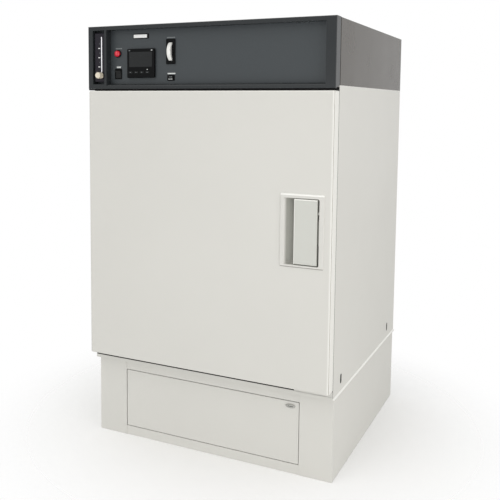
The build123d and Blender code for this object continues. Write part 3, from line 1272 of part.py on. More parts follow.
def name_plate():
    """Bare plate near the top of the panel."""
    plate = facing_front(RectangleRounded(PLATE_WIDTH, PLATE_HEIGHT, PLATE_CORNER), x_left + PLATE_X,
                         y_panel - PLATE_THICK, recess_mid + PLATE_RISE, PLATE_THICK)
    return chamfer(plate.faces().sort_by(Axis.Y)[0].edges(), PLATE_BEVEL)


# Flow meter

flow_x = x_left + FLOW_CENTRE_X
flow_y = y_front + FLOW_BODY_INSET
flow_bottom = recess_bottom + FLOW_BODY_GAP
flow_top = recess_top - FLOW_BODY_GAP
tube_bottom = flow_bottom + FLOW_VALVE_ZONE
tube_top = flow_top - FLOW_TOP_ZONE
tube_y = flow_y + FLOW_TUBE_RADIUS + FLOW_FRONT_WALL
knob_z = flow_bottom + FLOW_KNOB_RISE


def flow_meter_body():
    """Clear block with the tube's bore and the valve's seat."""
    middle = (slot_left + slot_right) / 2
    body = block(middle - FLOW_BODY_WIDTH / 2, middle + FLOW_BODY_WIDTH / 2, flow_y, y_panel, flow_bottom,
                 flow_top)
    body = chamfer(body.faces().sort_by(Axis.Y)[0].edges(), FLOW_BODY_BEVEL)
    body -= rod_z(tube_bottom, tube_top, flow_x, tube_y, FLOW_TUBE_RADIUS + FIT)
    body -= block(flow_x - FLOW_WINDOW / 2, flow_x + FLOW_WINDOW / 2, flow_y - 1, tube_y,
                  tube_bottom + FLOW_WINDOW / 2, tube_top - FLOW_WINDOW / 2)
    return body - rod_y(flow_y - 1, flow_y + FLOW_STEM_DEPTH, flow_x, knob_z, FLOW_STEM_RADIUS + RUN_FIT)


def flow_meter_tube():
    """Metering tube with its bore."""
    low = tube_bottom + FIT / 2
    high = tube_top - FIT / 2
    return rod_z(low, high, flow_x, tube_y, FLOW_TUBE_RADIUS) - rod_z(low - 1, high + 1, flow_x, tube_y,
                                                                      FLOW_TUBE_BORE)


def flow_float():
    """Top-shaped float at the bottom of the tube."""
    z = tube_bottom + FIT
    r = FLOW_FLOAT_RADIUS
    outline = Polyline((0, z), (r * 0.4, z), (r, z + 2 * r), (r, z + 2.5 * r), (0, z + 2.5 * r), close=True)
    face = Plane(origin=(flow_x, tube_y, 0), x_dir=(1, 0, 0), z_dir=(0, -1, 0)) * make_face(outline)
    return revolve(face, Axis((flow_x, tube_y, 0), (0, 0, 1)))


def flow_knob():
    """Fluted valve knob on its stem."""
    y1 = flow_y - 2 * FIT
    y0 = y1 - FLOW_KNOB_LENGTH
    r = FLOW_KNOB_RADIUS
    knob = turned_y([(0, y0), (r - 2, y0), (r, y0 + 2), (r, y1 - 3), (r * 0.8, y1), (0, y1)], flow_x, knob_z)
    flute = rod_y(y0 - 1, y1 - 4, flow_x + r + FLUTE_RADIUS * 0.5, knob_z, FLUTE_RADIUS)
    axis = Axis((flow_x, 0, knob_z), (0, 1, 0))
    for i in range(FLOW_KNOB_FLUTES):
        knob -= flute.rotate(axis, i * 360 / FLOW_KNOB_FLUTES)
    return knob + rod_y(y1 - 1, flow_y + FLOW_STEM_DEPTH - FIT, flow_x, knob_z, FLOW_STEM_RADIUS)


# Fittings on the back of the control box

def cable_gland():
    """Gland for the supply lead, with a hexagon and a domed nut."""
    z = body_top + GLAND_RISE
    y0 = y_rear - SHEET - GLAND_TAIL
    y1 = y_rear + GLAND_HEX_LENGTH
    y2 = y_rear + GLAND_LENGTH
    body = turned_y([(0, y0), (GLAND_THREAD, y0), (GLAND_THREAD, y1), (GLAND_NUT_RADIUS, y1),
                     (GLAND_NUT_RADIUS, y2 - GLAND_DOME), (GLAND_TIP_RADIUS, y2), (0, y2)], gland_x, z)
    body += facing_front(RegularPolygon(GLAND_RADIUS, 6), gland_x, y_rear, z, GLAND_HEX_LENGTH)
    return body - rod_y(y0 - 1, y2 + 1, gland_x, z, GLAND_BORE)


def gas_inlet():
    """Bulkhead stub for the purge gas, with its hexagon."""
    z = body_top + INLET_RISE
    stub = rod_y(y_rear - SHEET - GLAND_TAIL, y_rear + INLET_LENGTH, inlet_x, z, INLET_RADIUS)
    stub += facing_front(RegularPolygon(INLET_HEX / 2, 6), inlet_x, y_rear, z, INLET_HEX_LENGTH)
    return stub - rod_y(y_rear - DEPTH, y_rear + DEPTH, inlet_x, z, INLET_BORE)


def build():
    """Every node with its solid or solids."""
    zs = (door_bottom + HINGE_FROM_END, door_top - HINGE_FROM_END)
    door_leaves, body_leaves = left_hinges(zs)
    magnets, strikes = magnets_and_strikes()
    nodes = {
        "plinth_shell": plinth_shell(), "access_panel": access_panel(), "panel_lock": panel_lock(),
        "cabinet_shell": cabinet_shell(), "rear_panel": rear_panel(), "cover_screws": cover_screws(),
        "insulation": insulation(), "chamber_liner": chamber_liner(), "front_frame": front_frame(),
        "duct_screens": duct_screens(), "duct_plate": duct_plate(), "slot_cups": slot_cups(),
        "filter_frame": filter_frame(), "filter_pleats": filter_pleats(), "shelf_racks": shelf_racks(),
        "lower_shelf": shelf(LOWER_SHELF_LEDGE), "upper_shelf": shelf(UPPER_SHELF_LEDGE),
        "heater": heater(), "fan_partition": fan_partition(), "fan_wheel": fan_wheel(),
        "fan_shaft": fan_shaft(), "fan_motor": fan_motor(), "exhaust_port": exhaust_port(),
        "exhaust_damper": exhaust_damper(), "cabinet_hinge_leaves": body_leaves,
        "door_hinge_leaves": door_leaves, "door_shell": door_shell(), "door_insulation": door_insulation(),
        "door_liner": door_liner(), "door_gasket": door_gasket(), "door_magnets": magnets,
        "strike_plates": strikes, "handle_bezel": handle_bezel(), "handle_lever": handle_lever(),
        "lever_pin": lever_pin(), "push_off_pin": push_off_pin(), "control_bezel": control_bezel(),
        "control_panel": control_panel(), "top_cover": top_cover(),
        "controller_case": controller_case(), "controller_screen": controller_screen(),
        "power_switch_frame": switch_frame(False), "power_rocker": rocker(False),
        "small_switch_frame": switch_frame(True), "small_rocker": rocker(True),
        "dial_bezel": dial_bezel(), "dial_wheel": dial_wheel(), "lamp_base": lamp_base(),
        "lamp_lens": lamp_lens(), "name_plate": name_plate(), "flow_meter_body": flow_meter_body(),
        "flow_meter_tube": flow_meter_tube(), "flow_float": flow_float(), "flow_knob": flow_knob(),
        "cable_gland": cable_gland(), "gas_inlet": gas_inlet(),
    }
    for index in range(KEY_COUNT):
        nodes["key_" + str(index + 1)] = key(index)
    return nodes


os.makedirs("parts", exist_ok=True)
for node_name, node_shape in build().items():
    export_step(node_shape, os.path.join("parts", node_name + ".step"))
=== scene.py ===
import math

import bmesh
import bpy
from mathutils import Matrix, Vector


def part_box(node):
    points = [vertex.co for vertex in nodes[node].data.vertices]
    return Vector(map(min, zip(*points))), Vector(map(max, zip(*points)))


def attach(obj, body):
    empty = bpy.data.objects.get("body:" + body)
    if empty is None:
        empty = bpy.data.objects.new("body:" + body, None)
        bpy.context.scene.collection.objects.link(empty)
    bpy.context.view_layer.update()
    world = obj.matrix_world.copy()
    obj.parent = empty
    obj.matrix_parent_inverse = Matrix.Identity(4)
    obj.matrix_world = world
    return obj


# Cleanroom oven: materials, small trim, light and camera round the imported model.

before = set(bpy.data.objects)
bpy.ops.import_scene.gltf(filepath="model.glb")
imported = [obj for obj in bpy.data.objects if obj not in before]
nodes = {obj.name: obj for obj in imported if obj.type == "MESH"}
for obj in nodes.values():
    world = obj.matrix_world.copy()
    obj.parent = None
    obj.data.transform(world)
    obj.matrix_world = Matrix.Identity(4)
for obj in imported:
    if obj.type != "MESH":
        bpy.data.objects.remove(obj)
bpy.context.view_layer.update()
MM = 0.001


# Building materials

# Sockets of a Mix node that hold its first and second colour and its result
FIRST_COLOUR = 6
SECOND_COLOUR = 7
MIXED_COLOUR = 2


def linear(code):
    """Linear colour of an sRGB hex value."""
    parts = [int(code[i:i + 2], 16) / 255 for i in (1, 3, 5)]
    return [c / 12.92 if c <= 0.04045 else ((c + 0.055) / 1.055) ** 2.4 for c in parts] + [1.0]


def add(owner, kind, settings=(), inputs=(), links=()):
    """Adds a node to a material or a tree: its settings, input values and links (input, node, output)."""
    tree = getattr(owner, "node_tree", owner)
    node = tree.nodes.new(kind)
    for name, value in dict(settings).items():
        setattr(node, name, value)
    for name, value in dict(inputs).items():
        node.inputs[name].default_value = value
    for socket, source, output in links:
        tree.links.new(source.outputs[output], node.inputs[socket])
    return node


def surface(name, **values):
    """New material with a Principled shader, whose sockets are given by name with spaces as underscores."""
    material = bpy.data.materials.new(name)
    material.use_nodes = True
    shader = material.node_tree.nodes["Principled BSDF"]
    for key, value in values.items():
        shader.inputs[key.replace("_", " ")].default_value = value
    return material, shader


def feed(material, shader, socket, node, output):
    """Links a node's output to one of the shader's sockets."""
    material.node_tree.links.new(node.outputs[output], shader.inputs[socket])


def tinted(material, shader, low, high, scale, detail=3.0, stretch=(1, 1, 1)):
    """Colour that wanders between two tones in patches; returns the stretched place for more use."""
    place = add(material, "ShaderNodeTexCoord")
    turn = add(material, "ShaderNodeMapping", inputs={"Scale": stretch}, links=[("Vector", place, "Object")])
    noise = add(material, "ShaderNodeTexNoise", inputs={"Scale": scale, "Detail": detail},
                links=[("Vector", turn, "Vector")])
    mix = add(material, "ShaderNodeMix", {"data_type": "RGBA"},
              {FIRST_COLOUR: linear(low), SECOND_COLOUR: linear(high)}, [("Factor", noise, "Fac")])
    feed(material, shader, "Base Color", mix, MIXED_COLOUR)
    return turn


def rough_range(material, shader, place, scale, low, high):
    """Roughness that varies between two values."""
    noise = add(material, "ShaderNodeTexNoise", inputs={"Scale": scale, "Detail": 2.0},
                links=[("Vector", place, "Vector")])
    ramp = add(material, "ShaderNodeMapRange", inputs={"To Min": low, "To Max": high},
               links=[("Value", noise, "Fac")])
    feed(material, shader, "Roughness", ramp, "Result")


def relief(material, shader, place, size, depth, detail=2.0):
    """Fine bump whose grain has the given size and height in millimetres."""
    noise = add(material, "ShaderNodeTexNoise", inputs={"Scale": 1 / (size * MM), "Detail": detail},
                links=[("Vector", place, "Vector")])
    bump = add(material, "ShaderNodeBump", inputs={"Strength": 1.0, "Distance": depth * MM},
               links=[("Height", noise, "Fac")])
    feed(material, shader, "Normal", bump, "Normal")


def powder_coat(name, low, high, roughness, grain=2.4, depth=0.012, sheen=0.5):
    """Baked powder coat: an even tone with a faint orange peel and a soft sheen."""
    material, shader = surface(name, Roughness=roughness, IOR=1.5, Specular_IOR_Level=sheen)
    place = tinted(material, shader, low, high, scale=3.0)
    rough_range(material, shader, place, scale=9.0, low=roughness - 0.05, high=roughness + 0.05)
    relief(material, shader, place, grain, depth)
    return material


def tone_along(material, axis, start, end, tone):
    """Leads a coat over to another tone between two places along an axis."""
    shader = material.node_tree.nodes["Principled BSDF"]
    before = shader.inputs["Base Color"].links[0].from_socket
    place = add(material, "ShaderNodeTexCoord")
    axes = add(material, "ShaderNodeSeparateXYZ", links=[("Vector", place, "Object")])
    share = add(material, "ShaderNodeMapRange", inputs={"From Min": start, "From Max": end},
                links=[("Value", axes, axis)])
    mix = add(material, "ShaderNodeMix", {"data_type": "RGBA"}, {SECOND_COLOUR: linear(tone)},
              [("Factor", share, "Result")])
    material.node_tree.links.new(before, mix.inputs[FIRST_COLOUR])
    feed(material, shader, "Base Color", mix, MIXED_COLOUR)


def own_box(node):
    """Box of a node in its own space."""
    turn = nodes[node].matrix_world.inverted()
    low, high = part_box(node)
    return turn @ low, turn @ high


def edge_tones(material, node, rows):
    """Tones at a node's sides: axis, side, start and end of the change in millimetres inward, tone."""
    low, high = own_box(node)
    for axis, side, start, end, tone in rows:
        corner, inward = (low, MM) if side == "low" else (high, -MM)
        edge = getattr(corner, axis.lower())
        tone_along(material, axis, edge + start * inward, edge + end * inward, tone)


def moulded(name, low, high, roughness, grain=0.8, depth=0.01, sheen=0.5):
    """Moulded plastic: an even tone with a fine spark-eroded grain."""
    material, shader = surface(name, Roughness=roughness, IOR=1.5, Specular_IOR_Level=sheen)
    place = tinted(material, shader, low, high, scale=60.0)
    relief(material, shader, place, grain, depth)
    return material


def brushed(name, low, high, roughness, along, grain=0.6):
    """Brushed metal: fine lines along one axis break up the reflections."""
    squeeze = 0.02
    stretch = [squeeze if axis == along else 1.0 for axis in "xyz"]
    material, shader = surface(name, Metallic=1.0, Roughness=roughness)
    place = tinted(material, shader, low, high, scale=1 / (grain * MM * 4), detail=4.0, stretch=stretch)
    rough_range(material, shader, place, scale=1 / (grain * MM), low=roughness - 0.08, high=roughness + 0.1)
    relief(material, shader, place, grain, depth=0.006)
    return material


# Off-white polyester powder coat on sheet steel: chalky, with a low sheen and a barely visible peel.
white_coat = powder_coat("powder_coat_off_white", "#CCCBC6", "#D0CFCA", 0.42)
# The same coat on the door, with a painted highlight on the bends at its right and top edges.
door_coat = powder_coat("powder_coat_door_painted_highlight", "#CBCAC5", "#CFCEC9", 0.42)
edge_tones(door_coat, "door_shell", [("X", "high", 9, 4, "#E2E1DC"), ("Z", "high", 4.5, 3, "#E2E1DC")])
# The same coat on the lever, a little greyer than the cabinet's, with painted highlights on its edges.
lever_coat = powder_coat("powder_coat_lever_painted_highlight", "#BFC0BA", "#C3C4BE", 0.36)
edge_tones(lever_coat, "handle_lever", [("X", "low", 3.5, 2.5, "#DCDCD8"),
                                        ("X", "high", 3.5, 2.5, "#E2E2DD"),
                                        ("Z", "high", 4, 3, "#ECECE7")])
# The same coat on the handle's frame, with painted shade in the finger dish, a painted shadow at the lower
# edge and a painted highlight at the top.
dish_coat = powder_coat("powder_coat_dish_painted_light", "#CAC9C4", "#CECDC8", 0.4)
edge_tones(dish_coat, "door_shell", [("Y", "low", 1, 8, "#A6A69F")])
edge_tones(dish_coat, "handle_bezel", [("Z", "high", 6, 4.5, "#EFEFEB"), ("Z", "low", 3, 1.5, "#83827C")])
# Dark grey epoxy coat on the control box: smoother, so that it mirrors bright surroundings at a slant.
grey_coat = powder_coat("gloss_coat_dark_grey", "#282B2D", "#2C2F31", 0.26,
                        grain=3.0, depth=0.006, sheen=0.25)
# The same coat on the folded cover, a little warmer than the frame.
cover_coat = powder_coat("gloss_coat_warm_grey", "#3C362E", "#403A32", 0.26,
                         grain=3.0, depth=0.006, sheen=0.28)
# Slate grey coat on the recessed control panel: flatter and a little greener than the frame round it.
panel_coat = powder_coat("satin_coat_slate", "#383D40", "#3C4144", 0.42, grain=1.6, depth=0.01, sheen=0.35)
# Black enamel on the fan motor: dull, with a coarse peel.
motor_coat = powder_coat("motor_enamel_black", "#1C1E20", "#26282A", 0.5, grain=3.2, depth=0.03)
# Stainless steel sheet of the chamber, satin brushed upright: bright with soft upright streaks.
stainless = brushed("stainless_brushed", "#A9AAA9", "#BDBEBD", 0.34, "z")
# Stainless steel of wires and rods, drawn and polished: bright and sharp.
bright_wire = brushed("stainless_polished", "#B4B4B2", "#C6C6C4", 0.2, "y", grain=0.4)
# Zinc-plated steel of hinges, pins and screws: cool and slightly cloudy.
zinc = brushed("zinc_plate", "#9EA2A5", "#B4B7BA", 0.32, "z", grain=1.2)
# Galvanised steel of the fan wheel: grey with large pale spangles.
spangle = brushed("galvanised_sheet", "#8E9294", "#AEB2B4", 0.42, "x", grain=3.0)
# Extruded aluminium of the filter's frame: pale and dull.
filter_alloy = brushed("aluminium_extruded", "#A4A6A7", "#B5B7B8", 0.4, "z", grain=0.8)
# Heat-stained nickel alloy sheath of the heater: brown-grey and dull.
sheath = brushed("heater_sheath", "#5E5750", "#736A60", 0.45, "y", grain=1.0)
# Mineral wool: straw-coloured fibres, fully matt.
wool, wool_shader = surface("mineral_wool", Roughness=0.95)
relief(wool, wool_shader, tinted(wool, wool_shader, "#8F8358", "#B5A778", scale=90.0, detail=5.0),
       size=1.5, depth=0.6, detail=6.0)
# Glass-fibre filter paper: white, soft and fully matt.
paper, paper_shader = surface("filter_paper", Roughness=0.9)
relief(paper, paper_shader, tinted(paper, paper_shader, "#DAD9D2", "#E6E5DF", scale=120.0),
       size=0.8, depth=0.08)
# Black EPDM rubber of the door's flat gasket: fully matt, so that the gaps read as black lines.
rubber = moulded("epdm_rubber_black", "#0B0B0C", "#101011", 0.8, grain=1.2, depth=0.02, sheen=0.1)
# Black ABS of frames and housings: fine grain, hardly any highlight.
black_abs = moulded("abs_black", "#090A0B", "#0D0E0F", 0.42, sheen=0.08)
# Polished black polycarbonate of rockers and keys: small clear highlights.
black_gloss = moulded("polycarbonate_black", "#0E0F10", "#131416", 0.16, grain=2.0, depth=0.002, sheen=0.25)
# Smoked window over the display: slightly lighter than its frame, glossy.
window = moulded("display_window_smoked", "#191B1C", "#1E2021", 0.12, grain=4.0, depth=0.001, sheen=0.25)
# White ABS of the thumbwheel: bright and slightly shiny.
white_abs = moulded("abs_white", "#E2E2DF", "#ECECE9", 0.35)
# White acrylic tube with a painted glow, so that it stays bright in the dark slot.
tube_glow = moulded("acrylic_tube_painted_glow", "#F2F3F3", "#F8F8F8", 0.3)
tube_shader = tube_glow.node_tree.nodes["Principled BSDF"]
tube_shader.inputs["Emission Color"].default_value = linear("#F4F6F8")
tube_shader.inputs["Emission Strength"].default_value = 0.6
# Bright white of the bead between cabinet and plinth, lighter than the coat as a painted highlight on the
# ledge: even and slightly shiny.
ledge_highlight = moulded("ledge_bead_painted_highlight", "#F0F0EC", "#F6F6F2", 0.3, grain=2.0)
# Cream urea plastic of the valve knob: warm, glossy, with a trace of wear.
cream = moulded("urea_cream", "#CFC6B2", "#DDD5C4", 0.25, grain=1.2, depth=0.006)
# Red acrylic lens: deep colour, glossy, with light that seems to sit inside it.
red_lens, red_shader = surface("acrylic_red", Roughness=0.12, IOR=1.49, Coat_Weight=0.3)
relief(red_lens, red_shader, tinted(red_lens, red_shader, "#C3122B", "#D6203A", scale=200.0),
       size=0.9, depth=0.01)
# Dark violet acrylic block of the flow meter: deep, glossy and almost opaque.
violet = moulded("acrylic_violet_dark", "#17141C", "#1D1924", 0.14, grain=3.0, depth=0.002, sheen=0.25)
# Printed light grey enamel of small bare labels: flat and even.
label_print = moulded("label_enamel_light", "#C6C9C8", "#D0D3D2", 0.55, grain=0.5, depth=0.004)
# The same enamel worn thin over the slate coat: a dim grey.
dim_print = moulded("label_enamel_worn", "#6E7375", "#777C7E", 0.6, grain=0.5, depth=0.004)
# White laminate of the bare name place: even, faintly shiny.
white_plate = moulded("laminate_white", "#E4E5E4", "#ECEDEC", 0.4, grain=0.6, depth=0.004)
# Nickel-plated oval lock: bright, cool, softly worn.
nickel = brushed("nickel_plate", "#A8A8A4", "#BEBEBA", 0.26, "x", grain=0.7)

FINISHES = {
    white_coat: ["plinth_shell", "cabinet_shell", "rear_panel", "access_panel"],
    door_coat: ["door_shell"],
    lever_coat: ["handle_lever"],
    dish_coat: ["handle_bezel"],
    grey_coat: ["control_bezel"],
    cover_coat: ["top_cover"],
    panel_coat: ["control_panel"],
    motor_coat: ["fan_motor"],
    stainless: ["chamber_liner", "front_frame", "duct_plate", "duct_screens", "fan_partition", "shelf_racks",
                "exhaust_port", "exhaust_damper", "door_liner"],
    bright_wire: ["upper_shelf", "lower_shelf", "fan_shaft", "push_off_pin", "lever_pin"],
    zinc: ["cabinet_hinge_leaves", "door_hinge_leaves", "strike_plates", "cover_screws", "gas_inlet"],
    spangle: ["fan_wheel"],
    filter_alloy: ["filter_frame"],
    sheath: ["heater"],
    wool: ["insulation", "door_insulation"],
    paper: ["filter_pleats"],
    rubber: ["door_gasket"],
    black_abs: ["slot_cups", "controller_case", "power_switch_frame", "small_switch_frame", "dial_bezel",
                "lamp_base", "cable_gland", "door_magnets", "flow_float", "name_plate"],
    black_gloss: ["power_rocker", "small_rocker", "key_1", "key_2", "key_3", "key_4"],
    window: ["controller_screen"],
    white_abs: ["dial_wheel"],
    tube_glow: ["flow_meter_tube"],
    cream: ["flow_knob"],
    red_lens: ["lamp_lens"],
    violet: ["flow_meter_body"],
    nickel: ["panel_lock"],
}
for material, names in FINISHES.items():
    for name in names:
        for slot in nodes[name].material_slots:
            slot.material = material


# Trim that the solids leave out

def mount(name, mesh, body):
    """New object with the mesh, riding on a body."""
    made = bpy.data.objects.new(name, mesh)
    bpy.context.scene.collection.objects.link(made)
    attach(made, body)


def piece(name, mesh_maker, material, body):
    """New piece whose mesh is made by a function that fills a bmesh."""
    mesh = bpy.data.meshes.new(name)
    form = bmesh.new()
    mesh_maker(form)
    bmesh.ops.recalc_face_normals(form, faces=form.faces)
    form.to_mesh(mesh)
    form.free()
    mesh.materials.append(material)
    mount(name, mesh, body)


def tablet(form, x, y, z, width, height, thick, corner=0.8 * MM):
    """Thin rounded plate facing the front, with its back at y and a softened front edge."""
    corner_steps = 5
    straight = thick * 0.6
    softened = thick * 0.4
    rings = []
    for ahead, shrink in ((0, 0), (straight, 0), (thick, softened)):
        reach = corner - shrink if corner > shrink else corner * 0.2
        ring = []
        for sx, sz, start in ((1, 1, 0), (-1, 1, 90), (-1, -1, 180), (1, -1, 270)):
            cx = x + sx * (width / 2 - corner)
            cz = z + sz * (height / 2 - corner)
            for step in range(corner_steps + 1):
                turn = math.radians(start + 90 * step / corner_steps)
                ring.append(form.verts.new((cx + reach * math.cos(turn), y - ahead,
                                            cz + reach * math.sin(turn))))
        rings.append(ring)
    for low, high in zip(rings, rings[1:]):
        for i in range(len(low)):
            j = (i + 1) % len(low)
            form.faces.new((low[i], low[j], high[j], high[i]))
    form.faces.new(rings[0])
    form.faces.new(rings[-1])


def middle(node):
    """Middle of a node's box."""
    low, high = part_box(node)
    return (low + high) / 2


panel_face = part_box("control_panel")[0].y
# Thickness of labels and printed marks
PRINT = 0.3 * MM

# Bare white field on the name plate
FIELD_WIDTH = 52 * MM
FIELD_HEIGHT = 11 * MM
FIELD_SHIFT = 1.5 * MM
plate_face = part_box("name_plate")[0].y
plate_mid = middle("name_plate")
piece("name_field", lambda form: tablet(form, plate_mid.x - FIELD_SHIFT, plate_face, plate_mid.z,
                                        FIELD_WIDTH, FIELD_HEIGHT, PRINT),
      white_plate, "cabinet")

# Bare labels over the switches, the dial and the lamp: name, node under it, shift to the right, gap,
# width and height in millimetres, print
LABELS = (("power_label", "power_switch_frame", 1.2, 5.3, 16.5, 5.0, label_print),
          ("small_label", "small_switch_frame", 1.2, 4.2, 29.5, 4.2, label_print),
          ("dial_label", "dial_bezel", 0.0, 5.0, 30.0, 3.6, dim_print),
          ("lamp_label", "lamp_base", 2.4, 4.6, 25.0, 3.6, dim_print))
for label, node, shift, gap, width, height, ink in LABELS:
    label_x = middle(node).x + shift * MM
    label_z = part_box(node)[1].z + gap * MM
    piece(label, lambda form: tablet(form, label_x, panel_face, label_z, width * MM, height * MM, PRINT),
          ink, "cabinet")

# Scale marks left of the meter's tube
MARK_COUNT = 6
MARK_PITCH = 15.6 * MM
FIRST_MARK = 21.3 * MM
MARK_LAP = 0.6 * MM
MARK_CORNER = 0.5 * MM
meter_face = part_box("flow_meter_body")[0].y
tube_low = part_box("flow_meter_tube")[0]


def scale_marks(form, first, width, height):
    """Marks on every second step of the scale, from the given one upward."""
    for step in range(first, MARK_COUNT, 2):
        tablet(form, tube_low.x + MARK_LAP - width / 2, meter_face,
               tube_low.z + FIRST_MARK + step * MARK_PITCH, width, height, PRINT, MARK_CORNER)


piece("meter_scale", lambda form: scale_marks(form, 0, 8 * MM, 2.8 * MM),
      white_plate, "cabinet")
piece("meter_steps", lambda form: scale_marks(form, 1, 4 * MM, 1.6 * MM),
      dim_print, "cabinet")

# Signal lights round the display and over the last key
LIGHT_WIDTH = 6 * MM
LIGHT_HEIGHT = 2.6 * MM
LIGHT_DROP = 5.5 * MM
LIGHT_FROM_RIGHT = 9 * MM
LIGHT_FROM_LEFT = 10 * MM
KEY_LIGHT_WIDTH = 4 * MM
KEY_LIGHT_HEIGHT = 2.4 * MM
KEY_LIGHT_RISE = 5 * MM
case_low, case_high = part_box("controller_case")


def bright_signals(form):
    """Small light at the display's upper right and another over the last key."""
    tablet(form, case_high.x - LIGHT_FROM_RIGHT, case_low.y, case_high.z - LIGHT_DROP,
           LIGHT_WIDTH, LIGHT_HEIGHT, PRINT)
    tablet(form, middle("key_4").x, case_low.y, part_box("key_4")[1].z + KEY_LIGHT_RISE,
           KEY_LIGHT_WIDTH, KEY_LIGHT_HEIGHT, PRINT)


def dim_signals(form):
    """Small light at the display's upper left, off."""
    tablet(form, case_low.x + LIGHT_FROM_LEFT, case_low.y, case_high.z - LIGHT_DROP,
           LIGHT_WIDTH, LIGHT_HEIGHT, PRINT)


piece("controller_lights", bright_signals, label_print, "cabinet")
piece("controller_light_off", dim_signals, dim_print, "cabinet")

# Thin printed mark on each key
KEY_MARK_WIDTH = 4 * MM
KEY_MARK_HEIGHT = 1.4 * MM
for number in range(1, 5):
    key = "key_" + str(number)
    key_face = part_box(key)[0].y
    spot = middle(key)
    piece("mark_" + key, lambda form: tablet(form, spot.x, key_face, spot.z, KEY_MARK_WIDTH,
                                             KEY_MARK_HEIGHT, PRINT / 2, MARK_CORNER),
          dim_print, key)

# Two pale grey bars on the small rocker, in short lengths that follow its slope
BAR_LENGTHS = 5
BAR_SHARE = 0.9
BAR_THICK = 0.5 * MM
BAR_SUNK = 0.1 * MM
BAR_CORNER = 0.4 * MM
rocker = middle("small_rocker")


def face_at(node, x, z):
    """Front surface of a node at a place, found by a ray from the front."""
    thing = nodes[node]
    back = thing.matrix_world.inverted()
    hit, spot = thing.ray_cast(back @ Vector((x, -1, z)), Vector((0, 1, 0)))[:2]
    return (thing.matrix_world @ spot).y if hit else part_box(node)[0].y


def rocker_bar(form, z, width, height):
    """Row of small tablets at the height z, each seated on the rocker's face."""
    pitch = width / BAR_LENGTHS
    for step in range(BAR_LENGTHS):
        x = rocker.x + (step - (BAR_LENGTHS - 1) / 2) * pitch
        tablet(form, x, face_at("small_rocker", x, z) + BAR_SUNK, z, pitch * BAR_SHARE, height,
               BAR_THICK, BAR_CORNER)


piece("small_rocker_upper", lambda form: rocker_bar(form, rocker.z + 2.5 * MM, 11 * MM, 2 * MM),
      dim_print, "small_rocker")
piece("small_rocker_lower", lambda form: rocker_bar(form, rocker.z - 4.5 * MM, 17 * MM, 2.4 * MM),
      label_print, "small_rocker")


# Rails, strips and plates: bars whose outline in Y and Z is drawn along X, or whose outline in X and Z is
# drawn along Y

def drawn(form, outline, start, end, along):
    """Solid with the outline at both ends; each outline point is (side, height)."""
    rings = []
    for place in (start, end):
        if along == "x":
            rings.append([form.verts.new((place, side, height)) for side, height in outline])
        else:
            rings.append([form.verts.new((side, place, height)) for side, height in outline])
    for i in range(len(outline)):
        j = (i + 1) % len(outline)
        form.faces.new((rings[0][i], rings[0][j], rings[1][j], rings[1][i]))
    form.faces.new(rings[0])
    form.faces.new(rings[1])


shell_low, shell_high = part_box("cabinet_shell")
plinth_low, plinth_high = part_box("plinth_shell")
door_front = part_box("door_shell")[0].y
door_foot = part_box("door_shell")[0].z
gasket_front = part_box("door_gasket")[0].y
gasket_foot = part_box("door_gasket")[0].z
# Play that keeps a strip clear of what it covers
HAIR = 0.1 * MM

# Drip rail on the cabinet's face, which covers the gasket's lower edge under the door
rail_front = gasket_front - 1.4 * MM
rail_back = gasket_front - HAIR
rail_top = gasket_foot + 5 * MM
rail = [(shell_low.y, shell_low.z), (rail_front, shell_low.z), (rail_front, rail_top), (rail_back, rail_top),
        (rail_back, gasket_foot - 2 * HAIR), (shell_low.y, gasket_foot - 2 * HAIR)]
piece("drip_rail", lambda form: drawn(form, rail, shell_low.x, shell_high.x, "x"), white_coat, "cabinet")

# Taller end of the rail, which hides the gasket's corner
END_LENGTH = 126 * MM
end_foot = rail_top - 1 * MM
end_top = door_foot - 1.2 * MM
rail_end = [(rail_front, end_foot), (rail_front, end_top), (rail_back, end_top), (rail_back, end_foot)]
piece("drip_rail_end", lambda form: drawn(form, rail_end, shell_high.x - END_LENGTH, shell_high.x, "x"),
      white_coat, "cabinet")

# Black strip above the door's top edge, under the bezel, as painted shade in the gap there
STRIP_INSET = 0.5 * MM
strip_front = door_front + 3 * MM
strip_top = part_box("control_bezel")[0].z - HAIR
strip_foot = strip_top - 3.9 * MM
strip_outline = [(strip_front, strip_top), (gasket_front, strip_top), (gasket_front, strip_foot), (strip_front, strip_foot)]
piece("top_gap_shade", lambda form: drawn(form, strip_outline, shell_low.x + STRIP_INSET, shell_high.x - STRIP_INSET, "x"),
      rubber, "cabinet")

# White bead on the plinth's ledge, along both sides, coloured as a painted highlight: places outward and
# upward in millimetres
LEDGE = 4.5
BEAD = ((0, 0), (0, 4), (1, 3.4), (3, 1.6), (LEDGE - 0.3, 0.1), (LEDGE - 0.3, 0))
for side, inner, outer in (("left", shell_low.x, plinth_low.x), ("right", shell_high.x, plinth_high.x)):
    outward = (outer - inner) / LEDGE
    bead = [(inner + reach * outward, plinth_high.z + rise * MM) for reach, rise in BEAD]
    piece("joint_" + side, lambda form: drawn(form, bead, shell_low.y, shell_high.y, "y"), ledge_highlight,
          "cabinet")

# Black plates just inside the four carrying slots, as painted shade in them
SHADE_PLATE_HALF = 7.3 * MM
SHADE_PLATE_REACH = 8.5 * MM
SHADE_PLATE_FRONT = 0.2 * MM
SHADE_PLATE_BACK = 1.4 * MM
SHADE_PLATE_STEPS = 12
CUP_HALF = 9.5 * MM
cups_low, cups_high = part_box("slot_cups")


